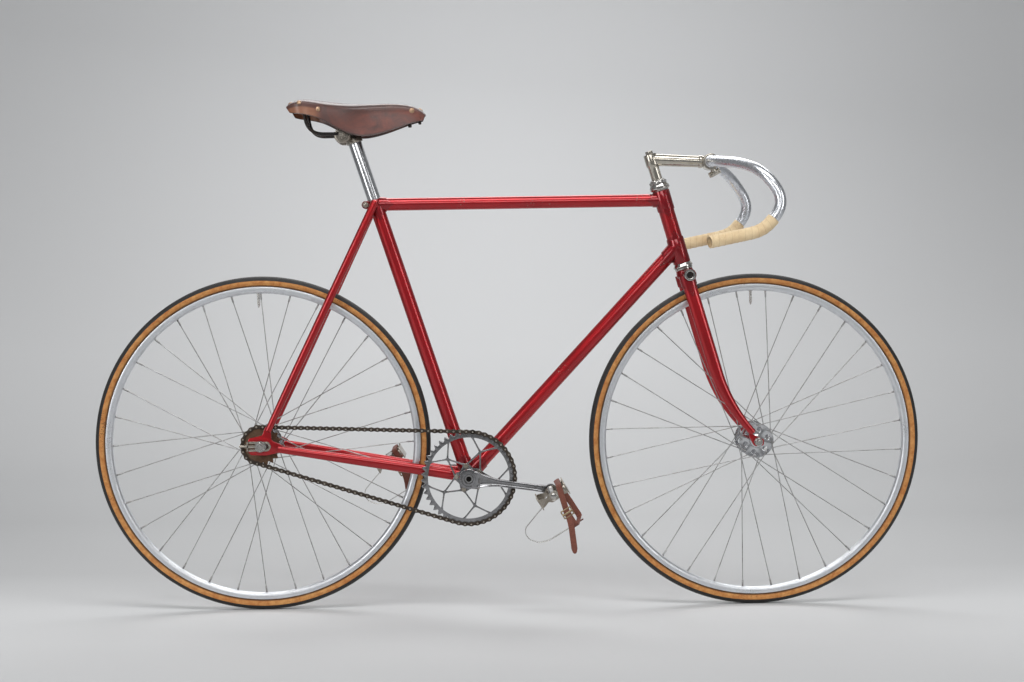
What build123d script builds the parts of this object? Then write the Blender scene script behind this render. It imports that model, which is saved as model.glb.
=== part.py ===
from build123d import *
import os
from math import acos, asin, atan2, cos, degrees, pi, radians, sin, sqrt, tan

os.makedirs("parts", exist_ok=True)

# A track bicycle. Millimetres and degrees. X is forward, Y to the rider's left, Z up.
# It is laid out on the ground under the rear axle and moved at the end,
# so that the origin is where the rider sits on the saddle.

# Wheels and the frame's geometry
WHEEL_R = 337.0
TYRE_TO_BRACKET = 81.7
CHAINSTAY = WHEEL_R + TYRE_TO_BRACKET
FRONT_CENTRE = 582.0
BB_DROP = 69.0
SEAT_ANGLE = 71.6
HEAD_ANGLE = 73.3
RAKE = 37.0
SEAT_TUBE_LENGTH = 588.0
TOP_TUBE_AT_SEAT = SEAT_TUBE_LENGTH - 9.5
HEAD_TUBE_LENGTH = 152.5

# Heights along the steering axis, from the level of the front axle
TYRE_TO_CROWN = 23.0
CROWN_UP = WHEEL_R + TYRE_TO_CROWN
HEAD_TUBE_FROM = CROWN_UP + 26
HEAD_TUBE_TO = HEAD_TUBE_FROM + HEAD_TUBE_LENGTH
TOP_TUBE_AT_HEAD = HEAD_TUBE_TO - 19.8
DOWN_TUBE_AT_HEAD = HEAD_TUBE_FROM + 35
QUILL_TOP = HEAD_TUBE_TO + 68.5

# Tube radii and walls
TOP_R = 12.7
SEAT_R = 14.3
DOWN_R = 14.3
HEAD_R = 15.9
WALL = 1.0
STEERER_R = 12.7
POST_R = SEAT_R - WALL
SHELL_R = 20.0
SHELL_HALF = 34.0
LUG_WALL = 1.8

# Half widths at the bracket, the chain line and the fork ends
CHAIN_LINE = SHELL_HALF + 8
REAR_HALF = CHAIN_LINE + 14
FRONT_HALF = 48.0
END_PLATE = 6.0
REAR_AXLE_R = 5.0
FRONT_AXLE_R = 4.5

# Drive
PITCH = 12.7
RING_TEETH = 46
SPROCKET_TEETH = 19
TOOTH_HALF = 1.5
TOOTH_PHASE = 120.1
ARM_IN = CHAIN_LINE + 10
ARM_OUT = ARM_IN + 12
CRANK_LENGTH = 165.0
CRANK_DROP = 8.0
PEDAL_TURN = 212.0

# Tyre and rim
TYRE_WIDTH = 23.0
TYRE_TALL = 21.0
RIM_TALL = 13.5
RIM_WIDTH = 20.0
RIM_OUT = WHEEL_R - TYRE_TALL
RIM_IN = RIM_OUT - RIM_TALL
SPOKES = 32
SPOKE_R = 1.0
SPOKE_SIDES = 4
CROSSINGS = 3
FRONT_NIPPLE = 85.65
REAR_NIPPLE = 90.5

# Bars, stem and saddle
BAR_HALF = 195.0
BAR_R = 11.1
BAR_WALL = 1.5
STEM_REACH = 119.9
STEM_RISE = -7.8
POST_SHOWS = 141.0
SADDLE_BACK = 32.87
SADDLE_RISE = 61.27

# Flat sides that stand for a round, so that the mesh stays light
TUBE_SIDES = 16
FITTING_SIDES = 12
BOLT_SIDES = 8


def radial(angle, radius, centre=(0, 0), y=0.0):
    """A point at an angle and radius round a centre in the side view."""
    x = centre[0] + radius * cos(radians(angle))
    z = centre[1] + radius * sin(radians(angle))
    return Vector(x, y, z)


def square_to(point, run):
    """The plane across a bar, turned so that coaxial bars have their flats in line."""
    along = run.normalized()
    side = Vector(1, 0, 0) if abs(along.Y) > 0.9 else Vector(0, 1, 0)
    return Plane(origin=point, x_dir=side - along * side.dot(along), z_dir=along)


def rod(start, end, radius, sides=TUBE_SIDES):
    """A round bar from one point to another."""
    run = end - start
    return square_to(start, run) * extrude(RegularPolygon(radius, sides), amount=run.length)


def taper(start, end, start_r, end_r, sides=FITTING_SIDES):
    """A round bar whose radius changes along it."""
    run = end - start
    wide = square_to(start, run) * RegularPolygon(start_r, sides)
    narrow = square_to(end, run) * RegularPolygon(end_r, sides)
    return loft([wide, narrow], ruled=True)


def pipe(start, end, radius, wall=WALL):
    """An open tube from one point to another."""
    return rod(start, end, radius) - rod(start, end, radius - wall)


def oval(place, depth, width):
    """An oval section with a few flat sides on a plane."""
    corners = []
    for index in range(FITTING_SIDES):
        angle = 2 * pi * index / FITTING_SIDES
        corners.append((depth / 2 * cos(angle), width / 2 * sin(angle)))
    return place * make_face(Polyline(*corners, close=True))


def bent_rod(points, bends, radius, sides, step=30):
    """A round bar along a line of points, each corner rounded by its bend radius."""
    stations = [(points[0], (points[1] - points[0]).normalized())]
    for before, corner, after, bend in zip(points, points[1:], points[2:], bends):
        coming = (corner - before).normalized()
        going = (after - corner).normalized()
        turn = acos(coming.dot(going))
        inward = (going - coming * coming.dot(going)).normalized()
        start = corner - coming * bend * tan(turn / 2)
        pieces = max(1, round(degrees(turn) / step))
        for index in range(pieces + 1):
            angle = turn * index / pieces
            spot = start + coming * bend * sin(angle) + inward * bend * (1 - cos(angle))
            stations.append((spot, coming * cos(angle) + inward * sin(angle)))
    stations.append((points[-1], (points[-1] - points[-2]).normalized()))
    side = Vector(0, 0, 1)
    rings = []
    for spot, along in stations:
        side = (side - along * side.dot(along)).normalized()
        rings.append(Plane(origin=spot, x_dir=side, z_dir=along) * RegularPolygon(radius, sides))
    return loft(rings, ruled=True)


def hoop(profile, centre=Vector(0, 0, 0)):
    """A closed outline of (radius, y) points turned about a wheel's axle."""
    face = make_face(Polyline(*profile, close=True))
    return Pos(centre) * revolve(face, Axis.Y, 360)


def disc(centre, radius, thickness, sides=TUBE_SIDES):
    """A flat round plate square to the Y axis, centred on a point."""
    half = Vector(0, thickness / 2, 0)
    return rod(centre - half, centre + half, radius, sides)


def side_plate(points, y_from, y_to):
    """A closed outline of (x, z) points in the side view, as thick as y_from to y_to."""
    face = Plane.XZ * make_face(Polyline(*points, close=True))
    return Pos(0, y_from, 0) * extrude(face, amount=y_to - y_from, dir=(0, 1, 0))


def mirrored(solid):
    """The same piece on the other side of the middle plane."""
    return mirror(solid, about=Plane.XZ)


# Reference points and directions of the frame
rear = Vector(0, 0, WHEEL_R)
bracket = Vector(sqrt(CHAINSTAY**2 - BB_DROP**2), 0, WHEEL_R - BB_DROP)
front = Vector(bracket.X + FRONT_CENTRE, 0, WHEEL_R)
seat_up = Vector(-cos(radians(SEAT_ANGLE)), 0, sin(radians(SEAT_ANGLE)))
head_up = Vector(-cos(radians(HEAD_ANGLE)), 0, sin(radians(HEAD_ANGLE)))
head_forward = Vector(sin(radians(HEAD_ANGLE)), 0, cos(radians(HEAD_ANGLE)))
head_foot = front - head_forward * RAKE
left = Vector(0, 1, 0)


def on_head(up, forward=0.0, y=0.0):
    """A point by its height along the steering axis, its place ahead of it and its side."""
    return head_foot + head_up * up + head_forward * forward + left * y


def on_seat(up):
    """A point on the seat tube's centre line."""
    return bracket + seat_up * up


seat_joint = on_seat(TOP_TUBE_AT_SEAT)
top_joint = on_head(TOP_TUBE_AT_HEAD)
down_joint = on_head(DOWN_TUBE_AT_HEAD)
seat_top = on_seat(SEAT_TUBE_LENGTH)
head_low = on_head(HEAD_TUBE_FROM)
head_high = on_head(HEAD_TUBE_TO)
post_top = on_seat(SEAT_TUBE_LENGTH + POST_SHOWS)
rider = post_top + Vector(-SADDLE_BACK, 0, SADDLE_RISE)
nodes = {}

# Main tubes, each mitred to the tube it meets
head_solid = rod(head_low, head_high, HEAD_R)
seat_solid = rod(bracket, seat_top + seat_up * 20, SEAT_R)
top_solid = rod(seat_joint, top_joint, TOP_R)
down_solid = rod(bracket, down_joint, DOWN_R)
shell_solid = rod(bracket - left * SHELL_HALF, bracket + left * SHELL_HALF, SHELL_R)

nodes["head_tube"] = pipe(head_low, head_high, HEAD_R)
nodes["top_tube"] = pipe(seat_joint, top_joint, TOP_R) - head_solid - seat_solid
nodes["seat_tube"] = pipe(bracket, seat_top, SEAT_R) - shell_solid
nodes["down_tube"] = pipe(bracket, down_joint, DOWN_R) - head_solid - shell_solid - seat_solid


def lug_sleeve(start, toward, tube_r, shoulder, tip):
    """A sleeve on a tube, cut to a point at the middle of each side."""
    along = toward.normalized()
    across = Vector(-along.Z, 0, along.X)
    out = tube_r + LUG_WALL
    sleeve = rod(start, start + along * tip, out)
    corners = [
        start - across * 2 * out,
        start - across * 2 * out + along * (shoulder - out),
        start - across * out + along * shoulder,
        start + along * tip,
        start + across * out + along * shoulder,
        start + across * 2 * out + along * (shoulder - out),
        start + across * 2 * out,
    ]
    outline = [(corner.X, corner.Z) for corner in corners]
    return sleeve & side_plate(outline, -2 * out, 2 * out)


# Lugs, brazed round the joints
top_back = seat_joint - top_joint
down_back = bracket - down_joint
main_tubes = head_solid + top_solid + down_solid
upper_lug = rod(on_head(TOP_TUBE_AT_HEAD - 18), head_high, HEAD_R + LUG_WALL)
upper_lug += lug_sleeve(on_head(TOP_TUBE_AT_HEAD - 10), -head_up, HEAD_R, 12, 24)
upper_lug += lug_sleeve(top_joint, top_back, TOP_R, 22, 36)
lower_lug = rod(head_low, on_head(DOWN_TUBE_AT_HEAD + 16), HEAD_R + LUG_WALL)
lower_lug += lug_sleeve(on_head(DOWN_TUBE_AT_HEAD + 8), head_up, HEAD_R, 12, 24)
lower_lug += lug_sleeve(down_joint, down_back, DOWN_R, 32, 54)
nodes["head_lug_upper"] = upper_lug - main_tubes
nodes["head_lug_lower"] = lower_lug - main_tubes

seat_lug = rod(on_seat(TOP_TUBE_AT_SEAT - 18), seat_top, SEAT_R + LUG_WALL)
seat_lug += lug_sleeve(on_seat(TOP_TUBE_AT_SEAT - 10), -seat_up, SEAT_R, 12, 24)
seat_lug += lug_sleeve(seat_joint, -top_back, TOP_R, 22, 36)

# Seat bolt in its round clamp ears behind the tube
bolt_at = on_seat(TOP_TUBE_AT_SEAT - 1) - Vector(20.5, 0, 0)
BOLT_R = 4.0
EAR_R = 7.8
EAR_HALF = 13.0
seat_lug += disc(bolt_at, EAR_R, 2 * EAR_HALF, FITTING_SIDES)
seat_lug -= disc(bolt_at, BOLT_R, 2 * EAR_HALF + 2, BOLT_SIDES)
seat_lug -= seat_solid + top_solid
seat_bolt = disc(bolt_at, BOLT_R, 2 * EAR_HALF + 6, BOLT_SIDES)
for side in (-1, 1):
    seat_bolt += disc(bolt_at + left * side * (EAR_HALF + 2.5), EAR_R - 1, 5, FITTING_SIDES)

# Bottom bracket shell with short sockets for the tubes
shell = shell_solid
shell += lug_sleeve(bracket, seat_up, SEAT_R, 36, 46)
shell += lug_sleeve(bracket, -down_back, DOWN_R, 40, 50)

# Rear triangle
STAY_TOP_R = 8.0
STAY_END_R = 6.5
STAY_TOP_Y = 19.0
STAY_FOOT_R = 34.0
STAY_FOOT_ANGLE = 64.0
END_Y = REAR_HALF + END_PLATE / 2
stay_peak = on_seat(TOP_TUBE_AT_SEAT + 4)
stay_top = Vector(stay_peak.X, STAY_TOP_Y, stay_peak.Z)
stay_foot = radial(STAY_FOOT_ANGLE, STAY_FOOT_R, (0, WHEEL_R), END_Y)
stay_knee = stay_top + (stay_foot - stay_top) * 0.72
stay_cap = stay_top + (stay_top - stay_foot).normalized() * 5
seat_stay = rod(stay_top, stay_knee, STAY_TOP_R, FITTING_SIDES)
seat_stay += taper(stay_knee, stay_foot, STAY_TOP_R, STAY_END_R)
seat_stay += taper(stay_top, stay_cap, STAY_TOP_R, STAY_TOP_R / 2)

# Chain stay sections from the bracket to the fork end: distance from the bracket, side, height, width
CHAINSTAY_SECTIONS = [
    (14, SHELL_HALF - 11, 23.0, 17.0),
    (TYRE_TO_BRACKET + 18.3, SHELL_HALF - 8, 22.0, 15.5),
    (CHAINSTAY - 168.7, CHAIN_LINE, 19.0, 15.0),
    (CHAINSTAY - 34.7, END_Y, 14.0, 12.0),
]
stay_run = (rear - bracket).normalized()
stay_side = Plane(origin=bracket, x_dir=left, z_dir=stay_run)
chain_sections = []
for distance, side, height, width in CHAINSTAY_SECTIONS:
    centre = bracket + stay_run * distance + left * side
    place = Plane(origin=centre, x_dir=stay_side.y_dir, z_dir=stay_run)
    chain_sections.append(oval(place, height, width))
chain_stay = loft(chain_sections, ruled=True)

# Rear fork end: a plate with a slot open to the rear
SLOT_HALF = REAR_AXLE_R + 0.2
FORK_END = [
    (-24, WHEEL_R + SLOT_HALF), (-24, WHEEL_R + 16), (4, WHEEL_R + 22), (10, WHEEL_R + 40),
    (21, WHEEL_R + 35), (22, WHEEL_R + 12), (44, WHEEL_R + 2), (42, WHEEL_R - 11),
    (12, WHEEL_R - 18), (-20, WHEEL_R - 17), (-24, WHEEL_R - 10), (-24, WHEEL_R - SLOT_HALF),
    (14, WHEEL_R - SLOT_HALF), (14, WHEEL_R + SLOT_HALF),
]
fork_end = side_plate(FORK_END, REAR_HALF, REAR_HALF + END_PLATE)
seat_stay -= fork_end
chain_stay = chain_stay - fork_end - shell_solid
shell -= rod(bracket - left * 50, bracket + left * 50, SHELL_R - 3)
shell -= seat_solid - shell_solid
shell -= down_solid - shell_solid
seat_stay -= seat_lug + seat_solid + top_solid
nodes["seat_lug"] = seat_lug
nodes["seat_bolt"] = seat_bolt
nodes["bottom_bracket_shell"] = shell - chain_stay - mirrored(chain_stay)
nodes["seat_stay_left"] = seat_stay
nodes["seat_stay_right"] = mirrored(seat_stay)
nodes["chain_stay_left"] = chain_stay
nodes["chain_stay_right"] = mirrored(chain_stay)
nodes["rear_fork_ends"] = Compound([fork_end, mirrored(fork_end)])

# Bridges between the stays, clear of the tyre
BRIDGE_AT = WHEEL_R + 22
BRIDGE_R = 6.0
along_stay = (stay_top - stay_foot).normalized()
away = Vector(cos(radians(STAY_FOOT_ANGLE)), 0, sin(radians(STAY_FOOT_ANGLE)))
bridge_high = stay_foot + along_stay * (BRIDGE_AT - STAY_FOOT_R) / along_stay.dot(away)
bridge_low = rear - stay_run * (BRIDGE_AT + 2)
bridges = [
    disc(Vector(bridge_high.X, 0, bridge_high.Z), BRIDGE_R, 80, BOLT_SIDES),
    disc(Vector(bridge_low.X, 0, bridge_low.Z), BRIDGE_R, 60, BOLT_SIDES),
]
stays = [seat_stay, mirrored(seat_stay), chain_stay, mirrored(chain_stay)]
cut_bridges = []
for bridge in bridges:
    for stay in stays:
        bridge = bridge - stay
    middle = bridge.solids().sort_by(lambda solid: abs(solid.center().Y))[0]
    cut_bridges.append(middle)
nodes["stay_bridges"] = Compound(cut_bridges)

# Rear axle with its cones, washers and nuts, each given by radius, thickness, sides and outward start
CONE_LONG = 9.0
TUG_PLATE = 2.4
plate_out = REAR_HALF + END_PLATE
REAR_FITTINGS = [
    (9.0, CONE_LONG, BOLT_SIDES, REAR_HALF - CONE_LONG),
    (11.0, 1.6, BOLT_SIDES, plate_out + TUG_PLATE),
    (9.6, 8.0, 6, plate_out + TUG_PLATE + 1.6),
]
rear_axle = disc(rear, REAR_AXLE_R, 2 * plate_out + 28, BOLT_SIDES)
for side in (-1, 1):
    for radius, thick, sides, start in REAR_FITTINGS:
        rear_axle += disc(rear + left * side * (start + thick / 2), radius, thick, sides)
nodes["rear_axle"] = rear_axle

# Chain adjusters: a strap on the axle, bent round the fork end's rear edge, with a screw
TUG_BACK = -24.1
STRAP_OUTLINE = [(-30, -7), (-30, 7), (8, 9), (8, -9)]
HOOK_OUTLINE = [(-27, -13), (-27, 13), (TUG_BACK, 13), (TUG_BACK, -13)]
tug = side_plate(STRAP_OUTLINE, plate_out, plate_out + TUG_PLATE)
tug -= disc(left * plate_out, REAR_AXLE_R, 20, BOLT_SIDES)
tug += side_plate(HOOK_OUTLINE, REAR_HALF - 1, plate_out + TUG_PLATE)
tug += rod(Vector(-42, END_Y, 0), Vector(TUG_BACK, END_Y, 0), 2.2, BOLT_SIDES)
tug = Pos(rear) * tug
nodes["chain_tugs"] = Compound([tug, mirrored(tug)])

# Headset cups
STACK_LOW = HEAD_TUBE_FROM - 13
STACK_HIGH = HEAD_TUBE_TO + 24
CUP_ROOT_R = HEAD_R + 1.1
CUP_LOW_R = 20.0
CUP_HIGH_R = 20.5
bearing_hole = rod(head_low - head_up * 20, head_high + head_up * 20, STEERER_R + 1)
cup_low = taper(head_low, on_head(HEAD_TUBE_FROM - 8), CUP_ROOT_R, CUP_LOW_R, TUBE_SIDES)
cup_high = taper(head_high, on_head(HEAD_TUBE_TO + 7), CUP_ROOT_R, CUP_HIGH_R, TUBE_SIDES)
cup_low -= bearing_hole
cup_high -= bearing_hole
nodes["headset_cups"] = Compound([cup_low, cup_high])

# Cranks' bearing cups
CUP_BORE_R = 9.4
CUP_THICK = 3.0
cup = disc(bracket + left * (SHELL_HALF + CUP_THICK / 2), SHELL_R - 1.5, CUP_THICK)
cup -= disc(bracket, CUP_BORE_R, 3 * SHELL_HALF, FITTING_SIDES)
nodes["bracket_cups"] = Compound([cup, mirrored(cup)])

# Seat post
nodes["seat_post"] = rod(on_seat(TOP_TUBE_AT_SEAT - 60), post_top, POST_R)
nodes["seat_tube"] -= nodes["seat_post"]

# Saddle sections from the rear edge to the nose, about the rider's place:
# x, top height, shoulder height and half width, lower edge height and half width
SADDLE_SECTIONS = [
    (-94, -9, -15, 60, -25, 61),
    (-66, 5, -8, 76, -28, 77),
    (-25, 2, -14, 66, -37, 69),
    (18, -2, -20, 43, -61, 51),
    (58, -3, -20, 28, -70, 39),
    (105, -2, -17, 21, -60, 28),
    (155, -6, -18, 18, -42, 20),
    (172, -13, -22, 16, -39, 17),
    (182, -24, -28, 11, -36, 12),
]
LEATHER = 4.0
ARCH_SIDES = 6


def saddle_ring(x, top, shoulder, half, low, low_half):
    """The corners of a saddle section: two flanks and an arched top."""
    corners = [(x, -low_half, low), (x, low_half, low)]
    for index in range(ARCH_SIDES + 1):
        angle = pi * index / ARCH_SIDES
        corners.append((x, half * cos(angle), shoulder + (top - shoulder) * sin(angle)))
    return corners


def faceted(rings):
    """A solid of flat triangles over a row of rings, closed by a flat face at each end."""
    outlines = [rings[0], rings[-1]]
    count = len(rings[0])
    for near, far in zip(rings, rings[1:]):
        for index in range(count):
            ahead = (index + 1) % count
            outlines.append([near[index], near[ahead], far[index]])
            outlines.append([near[ahead], far[ahead], far[index]])
    return Solid(Shell([make_face(Polyline(*outline, close=True)).face() for outline in outlines]))


outer = faceted([saddle_ring(*row) for row in SADDLE_SECTIONS])
inner_rows = []
for x, top, shoulder, half, low, low_half in SADDLE_SECTIONS:
    row = (x, top - LEATHER, shoulder - LEATHER / 2, half - LEATHER, low - 12, low_half - LEATHER + 1)
    inner_rows.append(row)
inner_rows[0] = (inner_rows[0][0] + LEATHER,) + inner_rows[0][1:]
inner_rows[-1] = (inner_rows[-1][0] - LEATHER,) + inner_rows[-1][1:]
saddle_cover = outer - faceted([saddle_ring(*row) for row in inner_rows])
nodes["saddle_cover"] = Pos(rider) * saddle_cover

# Saddle rails from the nose bolt under the clamp to the plate across the rear edge
RAIL_R = 3.5
RAIL_DROP = -65.0
RAIL_POINTS = [
    Vector(-56, 55, -15), Vector(-52, 46, RAIL_DROP), Vector(55, 21, RAIL_DROP), Vector(168, 8, -33),
]
RAIL_BENDS = [18, 60]
rail = bent_rod(RAIL_POINTS, RAIL_BENDS, RAIL_R, BOLT_SIDES, 45)
rails = rail + mirrored(rail)
rails += disc(Vector(166, 0, -33.5), 4.5, 24, BOLT_SIDES)
rails += Pos(-56, 0, -17) * Box(9, 118, 5)
rails -= saddle_cover
nodes["saddle_rails"] = Pos(rider) * rails

# Saddle clamp: a cross bolt with a serrated disc and a nut on each side, and a band on the post
CLAMP_AT = Vector(16, 0, -67)
CLAMP_FITTINGS = [(16.0, 29.5, FITTING_SIDES), (9.0, 37.0, 6)]
clamp = disc(CLAMP_AT, 4, 88, BOLT_SIDES)
for side in (-1, 1):
    for radius, face_y, sides in CLAMP_FITTINGS:
        clamp += disc(CLAMP_AT + left * side * face_y, radius, 7, sides)
clamp += Pos(CLAMP_AT + Vector(6, 0, 0)) * Box(26, 52, 16)
clamp = Pos(rider) * (clamp - rails - saddle_cover)
clamp += rod(post_top - seat_up * 21, post_top - seat_up, POST_R + 3.5)
nodes["saddle_clamp"] = clamp - nodes["seat_post"]

# Fork: crown, blades, tips, headset races and steerer
CROWN_FORWARD = 3.0
BLADE_TOP = CROWN_UP - 10
BLADE_BACK = -2.5
BLADE_Y = 31.5
BLADE_END = 20.0
BEND_START = 165.0
TIP_BEHIND = 4.75
CROWN_HALF = BLADE_Y + 11
TIP_Y = FRONT_HALF + END_PLATE / 2
# The bend's radius, from how far forward it carries the blade over its height
bend_rise = BEND_START - BLADE_END
bend_reach = RAKE - TIP_BEHIND - BLADE_BACK
bend_r = (bend_rise**2 + bend_reach**2) / (2 * bend_reach)
# Blade sections: height along the steering axis, depth fore and aft, width
BLADE_SECTIONS = [
    (BLADE_TOP, 28.0, 17.5),
    (BEND_START, 26.0, 16.0),
    (128.0, 23.8, 15.3),
    (95.0, 21.0, 14.5),
    (66.0, 18.4, 13.7),
    (42.0, 16.0, 12.8),
    (BLADE_END, 14.0, 12.0),
]


def blade_place(up, side):
    """The plane across a fork blade at a height along the steering axis."""
    turn = 0.0
    forward = BLADE_BACK
    if up < BEND_START:
        turn = asin((BEND_START - up) / bend_r)
        forward = BLADE_BACK + bend_r * (1 - cos(turn))
    share = (BLADE_TOP - up) / (BLADE_TOP - BLADE_END)
    y = side * (BLADE_Y + (TIP_Y - BLADE_Y) * share)
    down = head_up * -cos(turn) + head_forward * sin(turn)
    ahead = head_forward * cos(turn) + head_up * sin(turn)
    return Plane(origin=on_head(up, forward, y), x_dir=ahead, z_dir=down)


blades = []
for side in (-1, 1):
    sections = []
    for up, depth, width in BLADE_SECTIONS:
        sections.append(oval(blade_place(up, side), depth, width))
    blades.append(loft(sections, ruled=True))
STEERER_TOP = STACK_HIGH - 4
SOCKET_DEPTH = 31.5
SOCKET_WIDTH = 21.0
SOCKET_LONG = 24.0
crown = disc(on_head(CROWN_UP, CROWN_FORWARD), 13, 2 * CROWN_HALF)
crown += rod(on_head(CROWN_UP), on_head(STACK_LOW), HEAD_R + 1.1)
for side in (-1, 1):
    socket = oval(blade_place(BLADE_TOP, side), SOCKET_DEPTH, SOCKET_WIDTH)
    crown += extrude(socket, amount=SOCKET_LONG, dir=-head_up)
    crown += extrude(socket, amount=CROWN_UP - BLADE_TOP, dir=head_up)
for blade in blades:
    crown -= blade
crown += rod(on_head(CROWN_UP), on_head(STEERER_TOP), STEERER_R)
nodes["fork_crown"] = crown
nodes["fork_blade_right"] = blades[0]
nodes["fork_blade_left"] = blades[1]
# A ring with a sunk middle closes each end of the crown
CAP_R = 11.0
CAP_THICK = 3.0
crown_side = on_head(CROWN_UP, CROWN_FORWARD, CROWN_HALF)
cap = disc(crown_side + left * CAP_THICK / 2, CAP_R, CAP_THICK)
cap -= disc(crown_side + left * CAP_THICK, CAP_R - 4.5, 4, FITTING_SIDES)
nodes["crown_caps"] = Compound([cap, mirrored(cap)])

# Fork tip corners about the axle: ahead of it, and up along the steering axis
SLIT_HALF = FRONT_AXLE_R - 0.3
TIP_OUTLINE = [
    (-13, 24), (-1, 12), (12, 1), (9, -9), (SLIT_HALF + 0.3, -11),
    (SLIT_HALF, -2), (-SLIT_HALF, -2), (-SLIT_HALF - 0.8, -9), (-11, -5), (-15, 14),
]
corners = []
for ahead, up in TIP_OUTLINE:
    corner = on_head(up, RAKE + ahead)
    corners.append((corner.X, corner.Z))
tip = side_plate(corners, FRONT_HALF, FRONT_HALF + END_PLATE)
tip -= disc(front + left * FRONT_HALF, FRONT_AXLE_R + 0.2, 4 * END_PLATE, FITTING_SIDES)
tip = (tip - blades[1]).solids().sort_by(lambda solid: -solid.volume)[0]
nodes["fork_tips"] = Compound([tip, mirrored(tip)])

# Headset races, adjusting cup and locknut, which turn with the fork
ROLL_GAP = 0.3
NUT_FROM = HEAD_TUBE_TO + 14
race_low = rod(on_head(STACK_LOW), on_head(HEAD_TUBE_FROM - 8 - ROLL_GAP), CUP_LOW_R - 1.5)
race_foot = on_head(HEAD_TUBE_TO + 7 + ROLL_GAP)
race_high = taper(race_foot, on_head(NUT_FROM), CUP_HIGH_R, CUP_HIGH_R - 3, TUBE_SIDES)
race_high += rod(on_head(NUT_FROM), on_head(STACK_HIGH), CUP_HIGH_R - 2.5, 6)
steerer = rod(on_head(CROWN_UP), on_head(QUILL_TOP), STEERER_R)
nodes["headset_races"] = Compound([race_low - steerer, race_high - steerer])

# Stem: quill, extension and the clamp round the bar
QUILL_R = STEERER_R - 1.6
COLLAR_TOP = QUILL_TOP + 8
COLLAR_LONG = 24.0
NECK_R = 12.5
EXTENSION_R = 11.3
CLAMP_R = BAR_R + 5.4
CLAMP_HALF = 17.0
BINDER_AT = Vector(9, 0, -23)
BINDER_HALF = Vector(12, 0, 6)
clamp_at = on_head(QUILL_TOP) + Vector(STEM_REACH, 0, STEM_RISE)
stem = rod(on_head(STEERER_TOP), on_head(QUILL_TOP), QUILL_R)
stem += rod(on_head(COLLAR_TOP - COLLAR_LONG), on_head(COLLAR_TOP), QUILL_R + 2)
stem += taper(on_head(QUILL_TOP - 3), clamp_at, NECK_R, EXTENSION_R, TUBE_SIDES)
stem += disc(clamp_at, CLAMP_R, 2 * CLAMP_HALF)
ear_low = clamp_at + BINDER_AT
stem += rod(clamp_at, ear_low, 7, FITTING_SIDES)
stem += rod(ear_low - Vector(11, 0, 0), ear_low + BINDER_HALF + Vector(1, 0, 6), 4, BOLT_SIDES)
stem += rod(on_head(COLLAR_TOP), on_head(COLLAR_TOP + 7), 8, 6)

# Handlebar path on the left side about the clamp: points, the first at the middle, and the
# bend at each corner
BAR_PATH = [
    Vector(0, 45, 0), Vector(38, BAR_HALF - 82, -8), Vector(77, BAR_HALF - 11, -28),
    Vector(116, BAR_HALF, -90), Vector(73, BAR_HALF, -143), Vector(-33, BAR_HALF, -165),
]
BAR_BENDS = [60, 60, 79, 40, 32]
bar_points = [clamp_at + point for point in BAR_PATH]
far_points = [Vector(point.X, -point.Y, point.Z) for point in reversed(bar_points)]
bar = bent_rod(far_points + bar_points, BAR_BENDS[::-1] + BAR_BENDS, BAR_R, FITTING_SIDES)
stem -= bar
nodes["stem"] = stem - nodes["fork_crown"]
# The wound cloth runs from the end round the last bend
GRIP_R = BAR_R + 1.6
GRIP_SHARE = 0.54
grip_end = bar_points[-1]
grip_bend = bar_points[-2]
grip_from = grip_bend + (bar_points[-3] - grip_bend) * GRIP_SHARE
sleeve = bent_rod([grip_end, grip_bend, grip_from], BAR_BENDS[-1:], GRIP_R, FITTING_SIDES)
grips = [sleeve - bar, mirrored(sleeve) - bar]
# The bar's open ends, where a plug goes
BORE_R = BAR_R - BAR_WALL
BORE_DEPTH = 24.0
bore_in = (grip_bend - grip_end).normalized() * BORE_DEPTH
bore = Plane(origin=grip_end, z_dir=bore_in) * extrude(Circle(BORE_R), amount=BORE_DEPTH)
bar -= bore + mirrored(bore)
nodes["handlebar"] = bar
nodes["bar_tape"] = Compound(grips)

# Front axle with its cones and nuts: radius, thickness, sides and outward start
FRONT_FITTINGS = [
    (8.0, 8.0, BOLT_SIDES, FRONT_HALF - 8),
    (8.6, 8.0, 6, FRONT_HALF + END_PLATE),
]
front_axle = disc(front, FRONT_AXLE_R, 2 * (FRONT_HALF + END_PLATE) + 24, BOLT_SIDES)
for side in (-1, 1):
    for radius, thick, sides, start in FRONT_FITTINGS:
        front_axle += disc(front + left * side * (start + thick / 2), radius, thick, sides)
nodes["front_axle"] = front_axle

# Wheels: tyre, rim, spokes and hub. Outlines are of (radius, y) points
half_tyre = TYRE_WIDTH / 2
half_rim = RIM_WIDTH / 2
TREAD_HALF = 4.2
BEAD_HALF = half_rim - 2.5
widest = RIM_OUT + 8.5
TYRE_OUTLINE = [
    (RIM_OUT, -BEAD_HALF), (widest, -half_tyre), (WHEEL_R, -TREAD_HALF),
    (WHEEL_R, TREAD_HALF), (widest, half_tyre), (RIM_OUT, BEAD_HALF),
]
RIM_OUTLINE = [
    (RIM_IN, -half_rim / 2), (RIM_OUT, -half_rim), (RIM_OUT, half_rim), (RIM_IN, half_rim / 2),
]
HOLE_CIRCLE = 31.0
FLANGE_R = 35.0
FLANGE = 3.2
FLANGE_SIDES = 24
BARREL_R = 10.0
SHOULDER_R = 13.0
AXLE_PLAY = 0.7


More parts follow.
